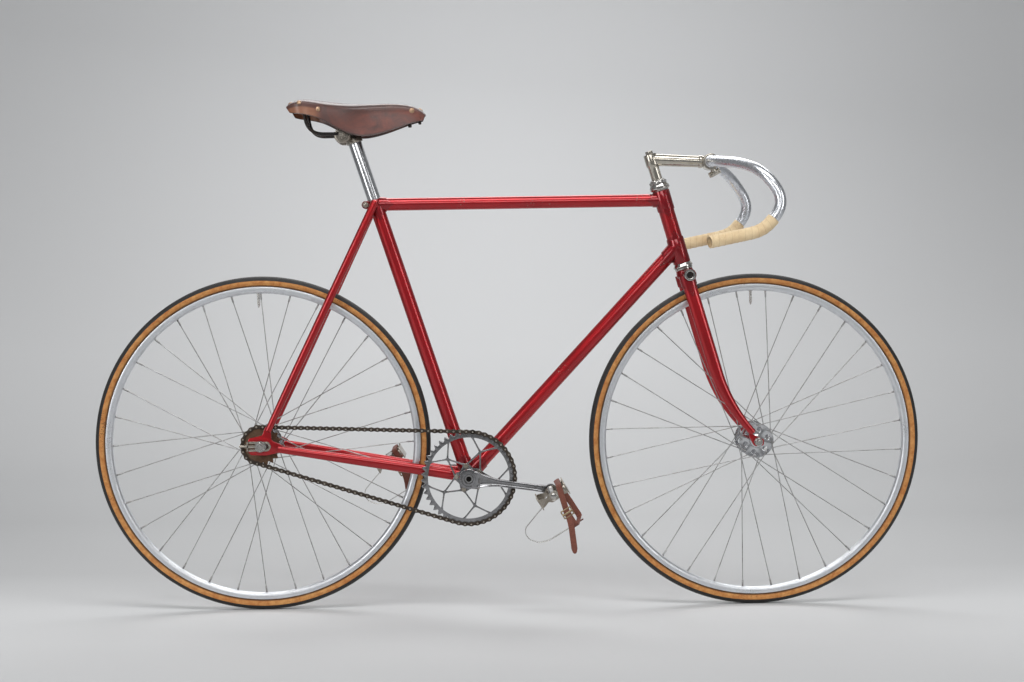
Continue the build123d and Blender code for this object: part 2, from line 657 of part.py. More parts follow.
def spoke_set(centre, phase, flange_y):
    """All spokes of a wheel, crossing on each side between the flange and the rim."""
    step = 360 / SPOKES
    swing = CROSSINGS * 2 * step
    made = []
    for index in range(SPOKES):
        side = 1 if index % 2 else -1
        lead = 1 if (index // 2) % 2 else -1
        at_rim = radial(phase + index * step, RIM_IN + 0.1, (centre.X, centre.Z), side * 1.5)
        outboard = flange_y + lead * (FLANGE / 2 + SPOKE_R + 0.1)
        hub_angle = phase + index * step + lead * swing
        at_hub = radial(hub_angle, HOLE_CIRCLE, (centre.X, centre.Z), side * outboard)
        made.append(rod(at_hub, at_rim, SPOKE_R, SPOKE_SIDES))
    return Compound(made)


def hub_shell(centre, flange_y, half_width, bore):
    """A hub: a barrel, shoulders, two large flanges and a bore."""
    hub = disc(centre, BARREL_R, 2 * half_width, FITTING_SIDES)
    hub += disc(centre, SHOULDER_R, 2 * (flange_y + 4), FITTING_SIDES)
    for side in (-1, 1):
        hub += disc(centre + left * side * flange_y, FLANGE_R, FLANGE, FLANGE_SIDES)
    return hub - disc(centre, bore, 2 * half_width + 2, FITTING_SIDES)


nodes["rear_tyre"] = hoop(TYRE_OUTLINE, rear)
nodes["rear_rim"] = hoop(RIM_OUTLINE, rear)
nodes["front_tyre"] = hoop(TYRE_OUTLINE, front)
nodes["front_rim"] = hoop(RIM_OUTLINE, front)
REAR_FLANGE_Y = REAR_HALF - 29
FRONT_FLANGE_Y = FRONT_HALF - 19
nodes["front_spokes"] = spoke_set(front, FRONT_NIPPLE, FRONT_FLANGE_Y)
nodes["rear_spokes"] = spoke_set(rear, REAR_NIPPLE, REAR_FLANGE_Y)
nodes["front_hub"] = hub_shell(front, FRONT_FLANGE_Y, FRONT_HALF - 8.5, FRONT_AXLE_R + AXLE_PLAY)
nodes["rear_hub"] = hub_shell(rear, REAR_FLANGE_Y, REAR_HALF - 9.5, REAR_AXLE_R + AXLE_PLAY)


# Drive: chainring, sprocket and chain
def pitch_radius(teeth):
    """The radius on which a chain's pins ride."""
    return PITCH / 2 / sin(pi / teeth)


def toothed_outline(teeth, phase):
    """A toothed wheel's outline as (x, z) points about its centre, a few for each tooth."""
    ride = pitch_radius(teeth)
    # Share of a tooth's pitch from its middle, and height over the pitch radius
    shape = [(-0.5, -4.3), (-0.1, 4.2), (0.1, 4.2)]
    points = []
    for tooth in range(teeth):
        for share, height in shape:
            angle = radians(phase + (tooth + share) * 360 / teeth)
            points.append(((ride + height) * cos(angle), (ride + height) * sin(angle)))
    return points


ring_r = pitch_radius(RING_TEETH)
sprocket_r = pitch_radius(SPROCKET_TEETH)
RING_BORE = ring_r - 12
SPIDER_R = 31.0
HOLE_R = 15.5
ARMS = 5
ARM_PHASE = -6.0
KNOT_R = 55.0
STRUT = 4.2
# Each arm's struts: angle from the arm and radius where they end
STRUTS = [(18, RING_BORE + 2), (36, SPIDER_R - 3)]
PLATE_IN = -CHAIN_LINE - TOOTH_HALF
PLATE_OUT = -CHAIN_LINE + TOOTH_HALF
hub_line = Vector(0, -CHAIN_LINE, 0)
chainring = side_plate(toothed_outline(RING_TEETH, TOOTH_PHASE), PLATE_IN, PLATE_OUT)
chainring -= disc(hub_line, RING_BORE, 10, RING_TEETH)
chainring += disc(hub_line, SPIDER_R, 2 * TOOTH_HALF)


def strut(a, b):
    """A flat bar of the chainring between two points of its plane."""
    run = (b - a).normalized()
    across = Vector(-run.Z, 0, run.X) * (STRUT / 2)
    corners = [a - across, b - across, b + across, a + across]
    return side_plate([(corner.X, corner.Z) for corner in corners], PLATE_IN, PLATE_OUT)


struts = []
for arm in range(ARMS):
    angle = ARM_PHASE + arm * 360 / ARMS
    knot = radial(angle, KNOT_R)
    struts.append(disc(hub_line + knot, STRUT / 2 + 1, 2 * TOOTH_HALF, BOLT_SIDES))
    for side in (-1, 1):
        for turn, reach in STRUTS:
            struts.append(strut(knot, radial(angle + side * turn, reach)))
chainring += struts
chainring -= disc(hub_line, HOLE_R, 10)
nodes["chainring"] = Pos(bracket.X, 0, bracket.Z) * chainring

sprocket = side_plate(toothed_outline(SPROCKET_TEETH, 0), PLATE_IN, PLATE_OUT)
sprocket += disc(hub_line + left, 22, 6)
sprocket -= disc(hub_line, SHOULDER_R, 20, FITTING_SIDES)
nodes["sprocket"] = Pos(rear) * sprocket - nodes["rear_hub"]


def chain_edge(offset):
    """The chain's outline round both wheels, moved outward by an offset."""
    span = (bracket - rear).length
    tilt = degrees(atan2(bracket.Z - rear.Z, bracket.X - rear.X))
    lean = degrees(acos((sprocket_r - ring_r) / span))
    points = []
    turns = [
        (bracket, ring_r, tilt + lean, tilt - lean, RING_TEETH),
        (rear, sprocket_r, tilt - lean, tilt + lean - 360, SPROCKET_TEETH),
    ]
    for centre, radius, start, end, teeth in turns:
        pieces = round((start - end) * teeth / 360)
        for index in range(pieces + 1):
            angle = start + (end - start) * index / pieces
            point = radial(angle, radius + offset, (centre.X, centre.Z))
            points.append((point.X, point.Z))
    return points


PLATE_WIDE = 4.1
CHAIN_HALF = 4.3
CHAIN_GAP = 2 * TOOTH_HALF + 1.4
GAP_OVER = 6.0
CHAIN_IN = -CHAIN_LINE - CHAIN_HALF
CHAIN_OUT = -CHAIN_LINE + CHAIN_HALF
chain = side_plate(chain_edge(PLATE_WIDE), CHAIN_IN, CHAIN_OUT)
chain -= side_plate(chain_edge(-PLATE_WIDE), CHAIN_IN - 1, CHAIN_OUT + 1)
chain -= disc(bracket + hub_line, ring_r + GAP_OVER, CHAIN_GAP, RING_TEETH)
chain -= disc(rear + hub_line, sprocket_r + GAP_OVER, CHAIN_GAP)
nodes["chain"] = chain

# Cranks
crank_end = {
    -1: radial(-CRANK_DROP, CRANK_LENGTH, (bracket.X, bracket.Z)),
    1: radial(180 - CRANK_DROP, CRANK_LENGTH, (bracket.X, bracket.Z)),
}
SPINDLE_R = 7.5
SPINDLE_HALF = ARM_OUT - 4
EYE_R = 6.5
BOSS_R = 18.0
BOSS_IN = CHAIN_LINE + TOOTH_HALF + 1.5
END_R = 12.5
SPIDER_THICK = 2.4
# The arm's corners: distance from the bracket and half width
ARM_OUTLINE = [(12, -13), (CRANK_LENGTH - 6, -9), (CRANK_LENGTH - 6, 9), (12, 13)]
for side, name in ((-1, "crank_right"), (1, "crank_left")):
    end = crank_end[side]
    run = (end - bracket).normalized()
    across = Vector(-run.Z, 0, run.X)
    corners = []
    for distance, half in ARM_OUTLINE:
        corner = bracket + run * distance + across * half
        corners.append((corner.X, corner.Z))
    near = side * ARM_IN
    far = side * ARM_OUT
    arm = side_plate(corners, min(near, far), max(near, far))
    arm += disc(bracket + left * side * (BOSS_IN + ARM_OUT) / 2, BOSS_R, ARM_OUT - BOSS_IN)
    arm += disc(end + left * side * (ARM_IN + ARM_OUT) / 2, END_R, ARM_OUT - ARM_IN)
    if side < 0:
        arm += disc(bracket - left * BOSS_IN, SPIDER_R, SPIDER_THICK)
    arm -= disc(bracket, SPINDLE_R, 2 * SPINDLE_HALF, FITTING_SIDES)
    nodes[name] = arm - disc(end, EYE_R, 160, FITTING_SIDES)
crank_spindle = disc(bracket, SPINDLE_R, 2 * SPINDLE_HALF, FITTING_SIDES)
for side in (-1, 1):
    shoulder = bracket + left * side * (SHELL_HALF + 2)
    crank_spindle += disc(shoulder, CUP_BORE_R - ROLL_GAP, 12, FITTING_SIDES)
nodes["crank_spindle"] = crank_spindle

# Pedals: spindle on the crank, and a body with two cage plates that turns on it
PEDAL_IN = ARM_OUT + 12
PEDAL_OUT = PEDAL_IN + 80
PEDAL_R = 10.0
spindles = []
for side in (-1, 1):
    end = crank_end[side]
    spindle = disc(end + left * side * (ARM_IN + ARM_OUT) / 2, EYE_R, ARM_OUT - ARM_IN, FITTING_SIDES)
    spindle += rod(end + left * side * ARM_OUT, end + left * side * (PEDAL_OUT - 4), 4.5, BOLT_SIDES)
    spindles.append(spindle + disc(end + left * side * (ARM_OUT + 2.5), 8, 5, 6))
nodes["pedal_spindles"] = Compound(spindles)

toe = Vector(cos(radians(PEDAL_TURN)), 0, sin(radians(PEDAL_TURN)))
sole = Vector(-toe.Z, 0, toe.X)


def pedal_point(side, ahead, up, y):
    """A point of a pedal: toward the toe, toward the foot's sole side, and out along the spindle."""
    return crank_end[side] + toe * ahead + sole * up + left * side * y


def pedal_bar(side, y_from, y_to, radius, sides):
    """A round bar about a pedal's spindle line."""
    return rod(pedal_point(side, 0, 0, y_from), pedal_point(side, 0, 0, y_to), radius, sides)


def pedal_prism(side, outline, y_from, y_to):
    """An outline of (ahead, up) points of a pedal, as thick as y_from to y_to."""
    corners = []
    for ahead, up in outline:
        corner = crank_end[side] + toe * ahead + sole * up
        corners.append((corner.X, corner.Z))
    low = min(side * y_from, side * y_to)
    return side_plate(corners, low, low + abs(y_to - y_from))


CAGE_AHEAD = 30.0
CAGE_THICK = 2.2
CAGE_IN = PEDAL_IN + 2
CAGE_OUT = PEDAL_OUT + 4
EDGE = CAGE_AHEAD + CAGE_THICK / 2
SIDE_OUTLINE = [(-CAGE_AHEAD, -9), (CAGE_AHEAD, -9), (CAGE_AHEAD, 9), (-CAGE_AHEAD, 9)]
FRONT_OUTLINE = [(EDGE - CAGE_THICK, -13), (EDGE, -13), (EDGE, 13), (EDGE - CAGE_THICK, 13)]
BACK_OUTLINE = [(-ahead, up) for ahead, up in reversed(FRONT_OUTLINE)]
# The toe clip: up from the cage's front, forward, round the toe and back over the strap
CLIP_HALF = 8.0
CLIP_TOP = 76.0
CLIP_THICK = 1.8
CLIP_OUTLINE = [
    (EDGE, -10), (EDGE + CLIP_THICK, -10), (EDGE + CLIP_THICK, 12), (80, 27), (88, 36), (86, 52),
    (74, 68), (54, 75), (40, CLIP_TOP), (-26, CLIP_TOP), (-26, CLIP_TOP - CLIP_THICK),
    (40, CLIP_TOP - CLIP_THICK), (53, 73.2), (72.6, 66.6), (84.2, 51.4), (86, 36.8), (79, 28.8),
    (EDGE, 13.6),
]
# The strap: under the body, up both sides, and over the shoe
STRAP_THICK = 2.0
STRAP_IN = PEDAL_IN - 0.3
STRAP_OUT = CAGE_OUT + 2.3
STRAP_LOW = -15.0
STRAP_HIGH = CLIP_TOP - CLIP_THICK - 0.3
LOW_IN = STRAP_LOW + STRAP_THICK
HIGH_IN = STRAP_HIGH - STRAP_THICK
LOW_OUTLINE = [(-25, STRAP_LOW), (-15, STRAP_LOW), (-15, LOW_IN), (-25, LOW_IN)]
RISING_OUTLINE = [(-25, LOW_IN), (-15, LOW_IN), (-15, HIGH_IN), (-25, HIGH_IN)]
HIGH_OUTLINE = [(-25, HIGH_IN), (-15, HIGH_IN), (-15, STRAP_HIGH), (-25, STRAP_HIGH)]
for side, name in ((-1, "right"), (1, "left")):
    body = pedal_bar(side, PEDAL_IN, PEDAL_OUT, PEDAL_R, FITTING_SIDES)
    body -= pedal_bar(side, PEDAL_IN - 1, PEDAL_OUT - 3.4, AXLE_PLAY + 4.5, BOLT_SIDES)
    nodes["pedal_body_" + name] = body
    cage = pedal_prism(side, FRONT_OUTLINE, CAGE_IN, CAGE_OUT)
    cage += pedal_prism(side, BACK_OUTLINE, CAGE_IN, CAGE_OUT)
    for y in (CAGE_IN, CAGE_OUT - CAGE_THICK):
        cage += pedal_prism(side, SIDE_OUTLINE, y, y + CAGE_THICK)
    cage -= pedal_bar(side, PEDAL_IN - 1, PEDAL_OUT + 1, PEDAL_R, FITTING_SIDES)
    nodes["pedal_cage_" + name] = cage
    middle = (CAGE_IN + CAGE_OUT) / 2
    nodes["toe_clip_" + name] = pedal_prism(side, CLIP_OUTLINE, middle - CLIP_HALF, middle + CLIP_HALF)
    strap = pedal_prism(side, LOW_OUTLINE, STRAP_IN, STRAP_OUT)
    strap += pedal_prism(side, HIGH_OUTLINE, STRAP_IN, STRAP_OUT)
    for y in (STRAP_IN, STRAP_OUT - STRAP_THICK):
        strap += pedal_prism(side, RISING_OUTLINE, y, y + STRAP_THICK)
    nodes["toe_strap_" + name] = strap

for name, shape in nodes.items():
    export_step(Pos(-rider) * shape, "parts/" + name + ".step")
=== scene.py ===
import math

import bpy
import numpy as np
from mathutils import Matrix, Vector


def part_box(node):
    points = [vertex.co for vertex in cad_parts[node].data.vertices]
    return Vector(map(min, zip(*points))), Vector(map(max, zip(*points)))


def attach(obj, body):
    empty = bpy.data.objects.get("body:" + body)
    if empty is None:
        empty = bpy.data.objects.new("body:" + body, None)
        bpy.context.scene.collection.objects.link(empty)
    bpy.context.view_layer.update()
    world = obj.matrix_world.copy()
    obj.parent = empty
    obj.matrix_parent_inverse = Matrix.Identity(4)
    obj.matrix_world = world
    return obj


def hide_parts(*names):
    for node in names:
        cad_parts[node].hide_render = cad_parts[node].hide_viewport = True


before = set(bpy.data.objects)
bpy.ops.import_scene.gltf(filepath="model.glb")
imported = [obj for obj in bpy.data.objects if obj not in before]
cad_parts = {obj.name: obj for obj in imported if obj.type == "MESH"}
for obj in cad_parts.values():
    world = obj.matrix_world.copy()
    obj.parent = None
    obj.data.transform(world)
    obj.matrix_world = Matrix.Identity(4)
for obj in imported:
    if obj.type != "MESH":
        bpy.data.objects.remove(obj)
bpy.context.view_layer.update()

# The bicycle is laid out in millimetres on the ground under the rear axle,
# x forward, y to the rider's left, z up, and moved to the row frame in metres.
RIDER = np.array([149.997, 0.0, 1021.001])
REAR = np.array([0.0, 0.0, 337.0])
FRONT = np.array([994.975, 0.0, 337.0])
BRACKET = np.array([412.975, 0.0, 268.0])
SEAT_ANGLE, HEAD_ANGLE, RAKE = math.radians(71.6), math.radians(73.3), 37.0
SEAT_UP = np.array([-math.cos(SEAT_ANGLE), 0.0, math.sin(SEAT_ANGLE)])
HEAD_UP = np.array([-math.cos(HEAD_ANGLE), 0.0, math.sin(HEAD_ANGLE)])
HEAD_OUT = np.array([math.sin(HEAD_ANGLE), 0.0, math.cos(HEAD_ANGLE)])
HEAD_FOOT = FRONT - HEAD_OUT * RAKE
LEFT = np.array([0.0, 1.0, 0.0])
AHEAD = np.array([1.0, 0.0, 0.0])
UP = np.array([0.0, 0.0, 1.0])
CRANK = 165.0
CRANK_DROP = 8.0
CHAIN_LINE = 42.0
SEAT_JOINT, TOP_JOINT, DOWN_JOINT = 578.5, 518.7, 421.0
HEAD_LOW, HEAD_HIGH = 386.0, 538.5
HEAD_R, MAIN_R, TOP_R = 15.9, 14.3, 12.7
SPOKES, SPOKE_STEP = 32, 11.25
RING_PHASE = 120.1
BAR_CLAMP = np.array([905.0, 0.0, 900.0])
CROWN_HEIGHT = 360.0
BLADE_TOP, BEND_FROM, BEND_R = 350, 165, 320
TYRE_RING, TYRE_HIGH, TYRE_WIDE = 325.9, 11.0, 11.5
BAR_R, BAR_BORE, GRIP_R, TAPE_STEP = 11.1, 9.7, 12.05, 13.0
PEDAL_TURN = math.radians(212)
SADDLE_REAR, SADDLE_NOSE = 56.0, 332.0


def unit(vectors):
    """Vectors of length one."""
    return vectors / np.linalg.norm(vectors, axis=-1, keepdims=True)


def turns(count):
    """Even angles round one turn, the last one left out."""
    return np.linspace(0, 2 * np.pi, count, endpoint=False)


def circle(t, a, b):
    """a cos t + b sin t for each angle."""
    return np.cos(t)[:, None] * a + np.sin(t)[:, None] * b


def like(vector, points):
    """One vector repeated for every point."""
    return np.broadcast_to(vector, points.shape)


def lengths(path):
    """The distance along a path at each of its points."""
    return np.concatenate([[0], np.cumsum(np.linalg.norm(np.diff(path, axis=0), axis=1))])


def walked(path, run):
    """The points of a path at the distances run along it."""
    return np.stack([np.interp(run, lengths(path), path[:, k]) for k in range(3)], 1)


def places(along, t):
    """What every point of a piece holds: its distance along the piece and the cosine and sine round it."""
    return np.stack(np.broadcast_arrays(along[:, None], np.cos(t), np.sin(t)), axis=-1)


def on_head(up, forward=0.0, y=0.0):
    """A point by its height along the steering axis, ahead of it and to the left."""
    return HEAD_FOOT + HEAD_UP * up + HEAD_OUT * forward + LEFT * y


def on_seat(up):
    """A point on the seat tube's centre line."""
    return BRACKET + SEAT_UP * up


def polar(centre, angle, radius, y=0.0):
    """centre + radius (cos a, 0, sin a), with its own side y, a in degrees."""
    a = np.radians(angle)
    x = centre[0] + radius * np.cos(a)
    z = centre[2] + radius * np.sin(a)
    return np.stack(np.broadcast_arrays(x, y, z), axis=-1).astype(float)


# Surfaces: a part is (points, [faces, ...], place), place being (along, cos, sin)


def part(points, faces, place=None):
    """Flat arrays of points and faces, turned so that the faces look outward."""
    points = np.asarray(points, float).reshape(-1, 3)
    place = np.zeros_like(points) if place is None else np.asarray(place, float).reshape(-1, 3)
    middle = points.mean(axis=0)
    volume = 0.0
    for block in faces:
        corners = points[block] - middle
        for k in range(1, block.shape[1] - 1):
            cross = np.cross(corners[:, k], corners[:, k + 1])
            volume += float(np.einsum("ij,ij->", corners[:, 0], cross))
    if volume < 0:
        faces = [block[:, ::-1] for block in faces]
    return points, faces, place


def join(parts):
    """All parts as one."""
    points, faces, places, count = [], [], [], 0
    for p, f, a in parts:
        points.append(p)
        faces += [block + count for block in f]
        places.append(a)
        count += len(p)
    return np.concatenate(points), faces, np.concatenate(places)


def grid(points, wrap=False, capped=True, place=None):
    """Quads over rows of rings, (row, column) to (row + 1, column + 1), each ring closed.
    wrap also joins the last ring to the first, capped closes both ends with a flat face."""
    rows, columns = points.shape[:2]
    index = np.arange(rows * columns).reshape(rows, columns)
    near = index if wrap else index[:-1]
    far = np.roll(index, -1, axis=0) if wrap else index[1:]
    quads = np.stack([near, np.roll(near, -1, 1), np.roll(far, -1, 1), far], axis=-1)
    faces = [quads.reshape(-1, 4)]
    if capped and not wrap:
        faces += [index[:1, ::-1], index[-1:]]
    return part(points, faces, place)


def basis(direction):
    """Two directions square to a direction and to each other."""
    along = unit(np.asarray(direction, float))
    helper = AHEAD if abs(along[1]) > 0.9 else LEFT
    first = unit(helper - along * helper.dot(along))
    return along, first, np.cross(along, first)


def lathe(profile, centre, axis, segments, wrap=False):
    """centre + axis h + r (a cos t + b sin t) for each (r, h) of the profile, t round the axis."""
    along, a, b = basis(axis)
    r, h = np.asarray(profile, float).T[:, :, None, None]
    t = turns(segments)
    return grid(centre + h * along + r * circle(t, a, b), wrap=wrap, place=places(h[:, 0, 0], t))


def tube(path, radius, sides=32, capped=True):
    """Rings square to a path: p + r (n cos t + m sin t), n carried along without twist."""
    path = np.asarray(path, float)
    tangent = unit(np.gradient(path, axis=0))
    first = basis(tangent[0])[1]
    normals = [first]
    for along in tangent[1:]:
        first = unit(first - along * first.dot(along))
        normals.append(first)
    n = np.array(normals)
    m = np.cross(tangent, n)
    t = turns(sides)
    r = np.broadcast_to(radius, (len(path),))[:, None, None]
    ring = n[:, None] * np.cos(t)[None, :, None] + m[:, None] * np.sin(t)[None, :, None]
    return grid(path[:, None] + r * ring, capped=capped, place=places(lengths(path), t))


def ovals(centres, across, wide, deep_way, deep, sides=40):
    """Oval rings: c + w a cos t + d b sin t at each centre."""
    t = turns(sides)
    w = (np.asarray(wide, float) / 2)[:, None, None]
    d = (np.asarray(deep, float) / 2)[:, None, None]
    points = centres[:, None] + w * across[:, None] * np.cos(t)[None, :, None]
    points = points + d * deep_way[:, None] * np.sin(t)[None, :, None]
    return grid(points, place=places(np.linspace(0, 1, len(centres)), t))


def rounded(corners, radius, steps=5):
    """A closed outline whose corners are quadratic curves (1-s)^2 A + 2 s (1-s) C + s^2 B."""
    c = np.asarray(corners, float)
    before = np.roll(c, 1, axis=0) - c
    after = np.roll(c, -1, axis=0) - c
    cut = np.minimum(np.linalg.norm(before, axis=1), np.linalg.norm(after, axis=1)) * 0.48
    cut = np.minimum(cut, radius)[:, None]
    a = c + unit(before) * cut
    b = c + unit(after) * cut
    s = np.linspace(0, 1, steps)[None, :, None]
    curve = (1 - s) ** 2 * a[:, None] + 2 * s * (1 - s) * c[:, None] + s**2 * b[:, None]
    return curve.reshape(-1, c.shape[1])


def inset(outline, amount):
    """A closed flat outline moved inward by an amount along its mean normals."""
    ahead = np.roll(outline, -1, axis=0) - outline
    behind = outline - np.roll(outline, 1, axis=0)
    way = unit(unit(ahead) + unit(behind))
    area = np.sum(outline[:, 0] * np.roll(outline[:, 1], -1) - np.roll(outline[:, 0], -1) * outline[:, 1])
    normal = np.stack([-way[:, 1], way[:, 0]], axis=1) * (1 if area > 0 else -1)
    return outline + normal * amount


def plate(outline, low, high, edge=0.4, spread=None):
    """A flat outline of (x, z) as thick as low to high in y, its edges rounded off.
    spread maps (x, z, y) to points, straight to (x, y, z) where none is given."""
    outline = np.asarray(outline, float)
    rows = []
    for amount, y in ((edge, low), (edge * 0.3, low + edge * 0.3), (0, low + edge), (0, high - edge),
                      (edge * 0.3, high - edge * 0.3), (edge, high)):
        ring = inset(outline, amount)
        rows.append(np.column_stack([ring[:, 0], np.full(len(ring), y), ring[:, 1]]))
    points = np.array(rows)
    if spread is not None:
        points = spread(points[..., 0], points[..., 2], points[..., 1])
    return grid(points)


def arcs(points, bends, step=5.0):
    """A line of points with each corner turned on a circle of its bend radius."""
    points = [np.asarray(p, float) for p in points]
    line = [points[0]]
    for before, corner, after, bend in zip(points, points[1:], points[2:], bends):
        coming = unit(corner - before)
        going = unit(after - corner)
        turn = math.acos(np.clip(coming.dot(going), -1, 1))
        inward = unit(going - coming * coming.dot(going))
        start = corner - coming * bend * math.tan(turn / 2)
        t = np.linspace(0, turn, max(3, int(math.degrees(turn) / step)))[:, None]
        line += list(start + coming * bend * np.sin(t) + inward * bend * (1 - np.cos(t)))
    line.append(points[-1])
    return np.array(line)


def hexagon(t):
    """Radius of a hexagon of unit flats' half width at angle t."""
    return 1 / np.cos((t + np.pi / 6) % (np.pi / 3) - np.pi / 6)


def hex_nut(centre, axis, half, height, bore=0.0):
    """A hexagon nut or bolt head with its corners turned off at both ends."""
    along, a, b = basis(axis)
    t = turns(48)
    ring = circle(t, a, b)
    rings = []
    for limit, h in ((1.0, 0.0), (1.155, 0.09), (1.155, 0.91), (1.0, 1.0)):
        r = half * np.minimum(hexagon(t), limit)
        rings.append(centre + along * h * height + r[:, None] * ring)
    if bore:
        rings += [centre + along * height * h + bore * ring for h in (1.0, 0.4)]
    return grid(np.array(rings))


def round_end(radius, length, edge):
    """Profile of a pin from its foot to a rounded end."""
    return [(radius, 0), (radius, length - edge), (radius - edge * 0.3, length - edge * 0.3),
            (radius - edge, length)]


def piece(name, parts, body, material, replaces=(), sharp=32.0):
    """A Blender object made of parts, riding on a body and standing for CAD nodes."""
    points, faces, place = join(parts)
    mesh = bpy.data.meshes.new(name)
    mesh.vertices.add(len(points))
    mesh.vertices.foreach_set("co", ((points - RIDER) / 1000.0).ravel())
    corners = np.concatenate([block.ravel() for block in faces])
    sizes = np.concatenate([np.full(len(block), block.shape[1]) for block in faces])
    mesh.loops.add(len(corners))
    mesh.loops.foreach_set("vertex_index", corners)
    mesh.polygons.add(len(sizes))
    mesh.polygons.foreach_set("loop_start", np.concatenate([[0], np.cumsum(sizes)[:-1]]))
    mesh.polygons.foreach_set("use_smooth", np.ones(len(sizes), bool))
    mesh.update(calc_edges=True)
    mesh.validate()
    mesh.set_sharp_from_angle(angle=math.radians(sharp))
    held = mesh.attributes.new("place", "FLOAT_VECTOR", "POINT")
    held.data.foreach_set("vector", place.ravel())
    mesh.materials.append(material)
    made = bpy.data.objects.new(name, mesh)
    bpy.context.scene.collection.objects.link(made)
    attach(made, body)
    if replaces:
        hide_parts(*replaces)
    return made


# Materials: small builders for nodes


def add(tree, kind, inputs=None, **settings):
    """A node with its settings, and its inputs given as values or as other nodes' sockets."""
    made = tree.nodes.new(kind)
    for key, value in settings.items():
        setattr(made, key, value)
    for key, value in (inputs or {}).items():
        if isinstance(value, bpy.types.NodeSocket):
            tree.links.new(value, made.inputs[key])
        else:
            made.inputs[key].default_value = value
    return made


def maths(tree, operation, a, b=0.0, clamp=False):
    """One step of arithmetic."""
    return add(tree, "ShaderNodeMath", {0: a, 1: b}, operation=operation, use_clamp=clamp).outputs[0]


def times(tree, a, b, clamp=False):
    """a b."""
    return maths(tree, "MULTIPLY", a, b, clamp)


def plus(tree, a, b, clamp=False):
    """a + b."""
    return maths(tree, "ADD", a, b, clamp)


def rest(tree, share):
    """1 - share."""
    return maths(tree, "SUBTRACT", 1.0, share)


def blend(tree, share, a, b):
    """Colour a changed to colour b by a share, both given as three numbers or as a socket."""
    a, b = (tone + (1,) if isinstance(tone, tuple) else tone for tone in (a, b))
    return add(tree, "ShaderNodeMix", {0: share, 6: a, 7: b}, data_type="RGBA").outputs[2]


def between(tree, value, low, high, to_low=0.0, to_high=1.0):
    """A value stretched from one range to another, kept inside it."""
    return add(tree, "ShaderNodeMapRange", {0: value, 1: low, 2: high, 3: to_low, 4: to_high}).outputs[0]


def here(tree, stretch=None):
    """Object coordinates, stretched by three factors where given."""
    spot = add(tree, "ShaderNodeTexCoord").outputs["Object"]
    if stretch:
        spot = add(tree, "ShaderNodeMapping", {"Vector": spot, "Scale": stretch}).outputs[0]
    return spot


def place_on(tree):
    """The three values that each point of a piece holds in its attribute place."""
    place = add(tree, "ShaderNodeAttribute", attribute_name="place").outputs["Vector"]
    return add(tree, "ShaderNodeSeparateXYZ", {0: place}).outputs


def ripples(tree, spot, scale, distortion, direction):
    """Even waves from 0 to 1 in one direction."""
    inputs = {"Vector": spot, "Scale": scale, "Distortion": distortion}
    return add(tree, "ShaderNodeTexWave", inputs, bands_direction=direction).outputs["Fac"]


def cracks(tree, spot, scale):
    """Distance from the edges of small cells, as leather creases."""
    inputs = {"Vector": spot, "Scale": scale}
    return add(tree, "ShaderNodeTexVoronoi", inputs, feature="DISTANCE_TO_EDGE").outputs[0]


def fading(tree, value, low, high):
    """1 below low, 0 above high and smooth between."""
    inputs = {0: value, 1: low, 2: high, 3: 1.0, 4: 0.0}
    return add(tree, "ShaderNodeMapRange", inputs, interpolation_type="SMOOTHSTEP").outputs[0]


def noise(tree, spot, scale, detail=3.0, rough=0.55, twist=0.0):
    """Cloudy values from 0 to 1."""
    inputs = {"Vector": spot, "Scale": scale, "Detail": detail, "Roughness": rough, "Distortion": twist}
    return add(tree, "ShaderNodeTexNoise", inputs).outputs[0]


def group(name, inputs, outputs):
    """A node group with value sockets: its tree, the inputs' sockets and the output node."""
    tree = bpy.data.node_groups.new(name, "ShaderNodeTree")
    for label, value in inputs:
        socket = tree.interface.new_socket(label, in_out="INPUT", socket_type="NodeSocketFloat")
        socket.default_value = value
    for label in outputs:
        tree.interface.new_socket(label, in_out="OUTPUT", socket_type="NodeSocketFloat")
    return tree, add(tree, "NodeGroupInput").outputs, add(tree, "NodeGroupOutput").inputs


def use(tree, name, **values):
    """A group's outputs in another tree."""
    made = add(tree, "ShaderNodeGroup", node_tree=bpy.data.node_groups[name])
    feed(tree, made, **values)
    return made.outputs


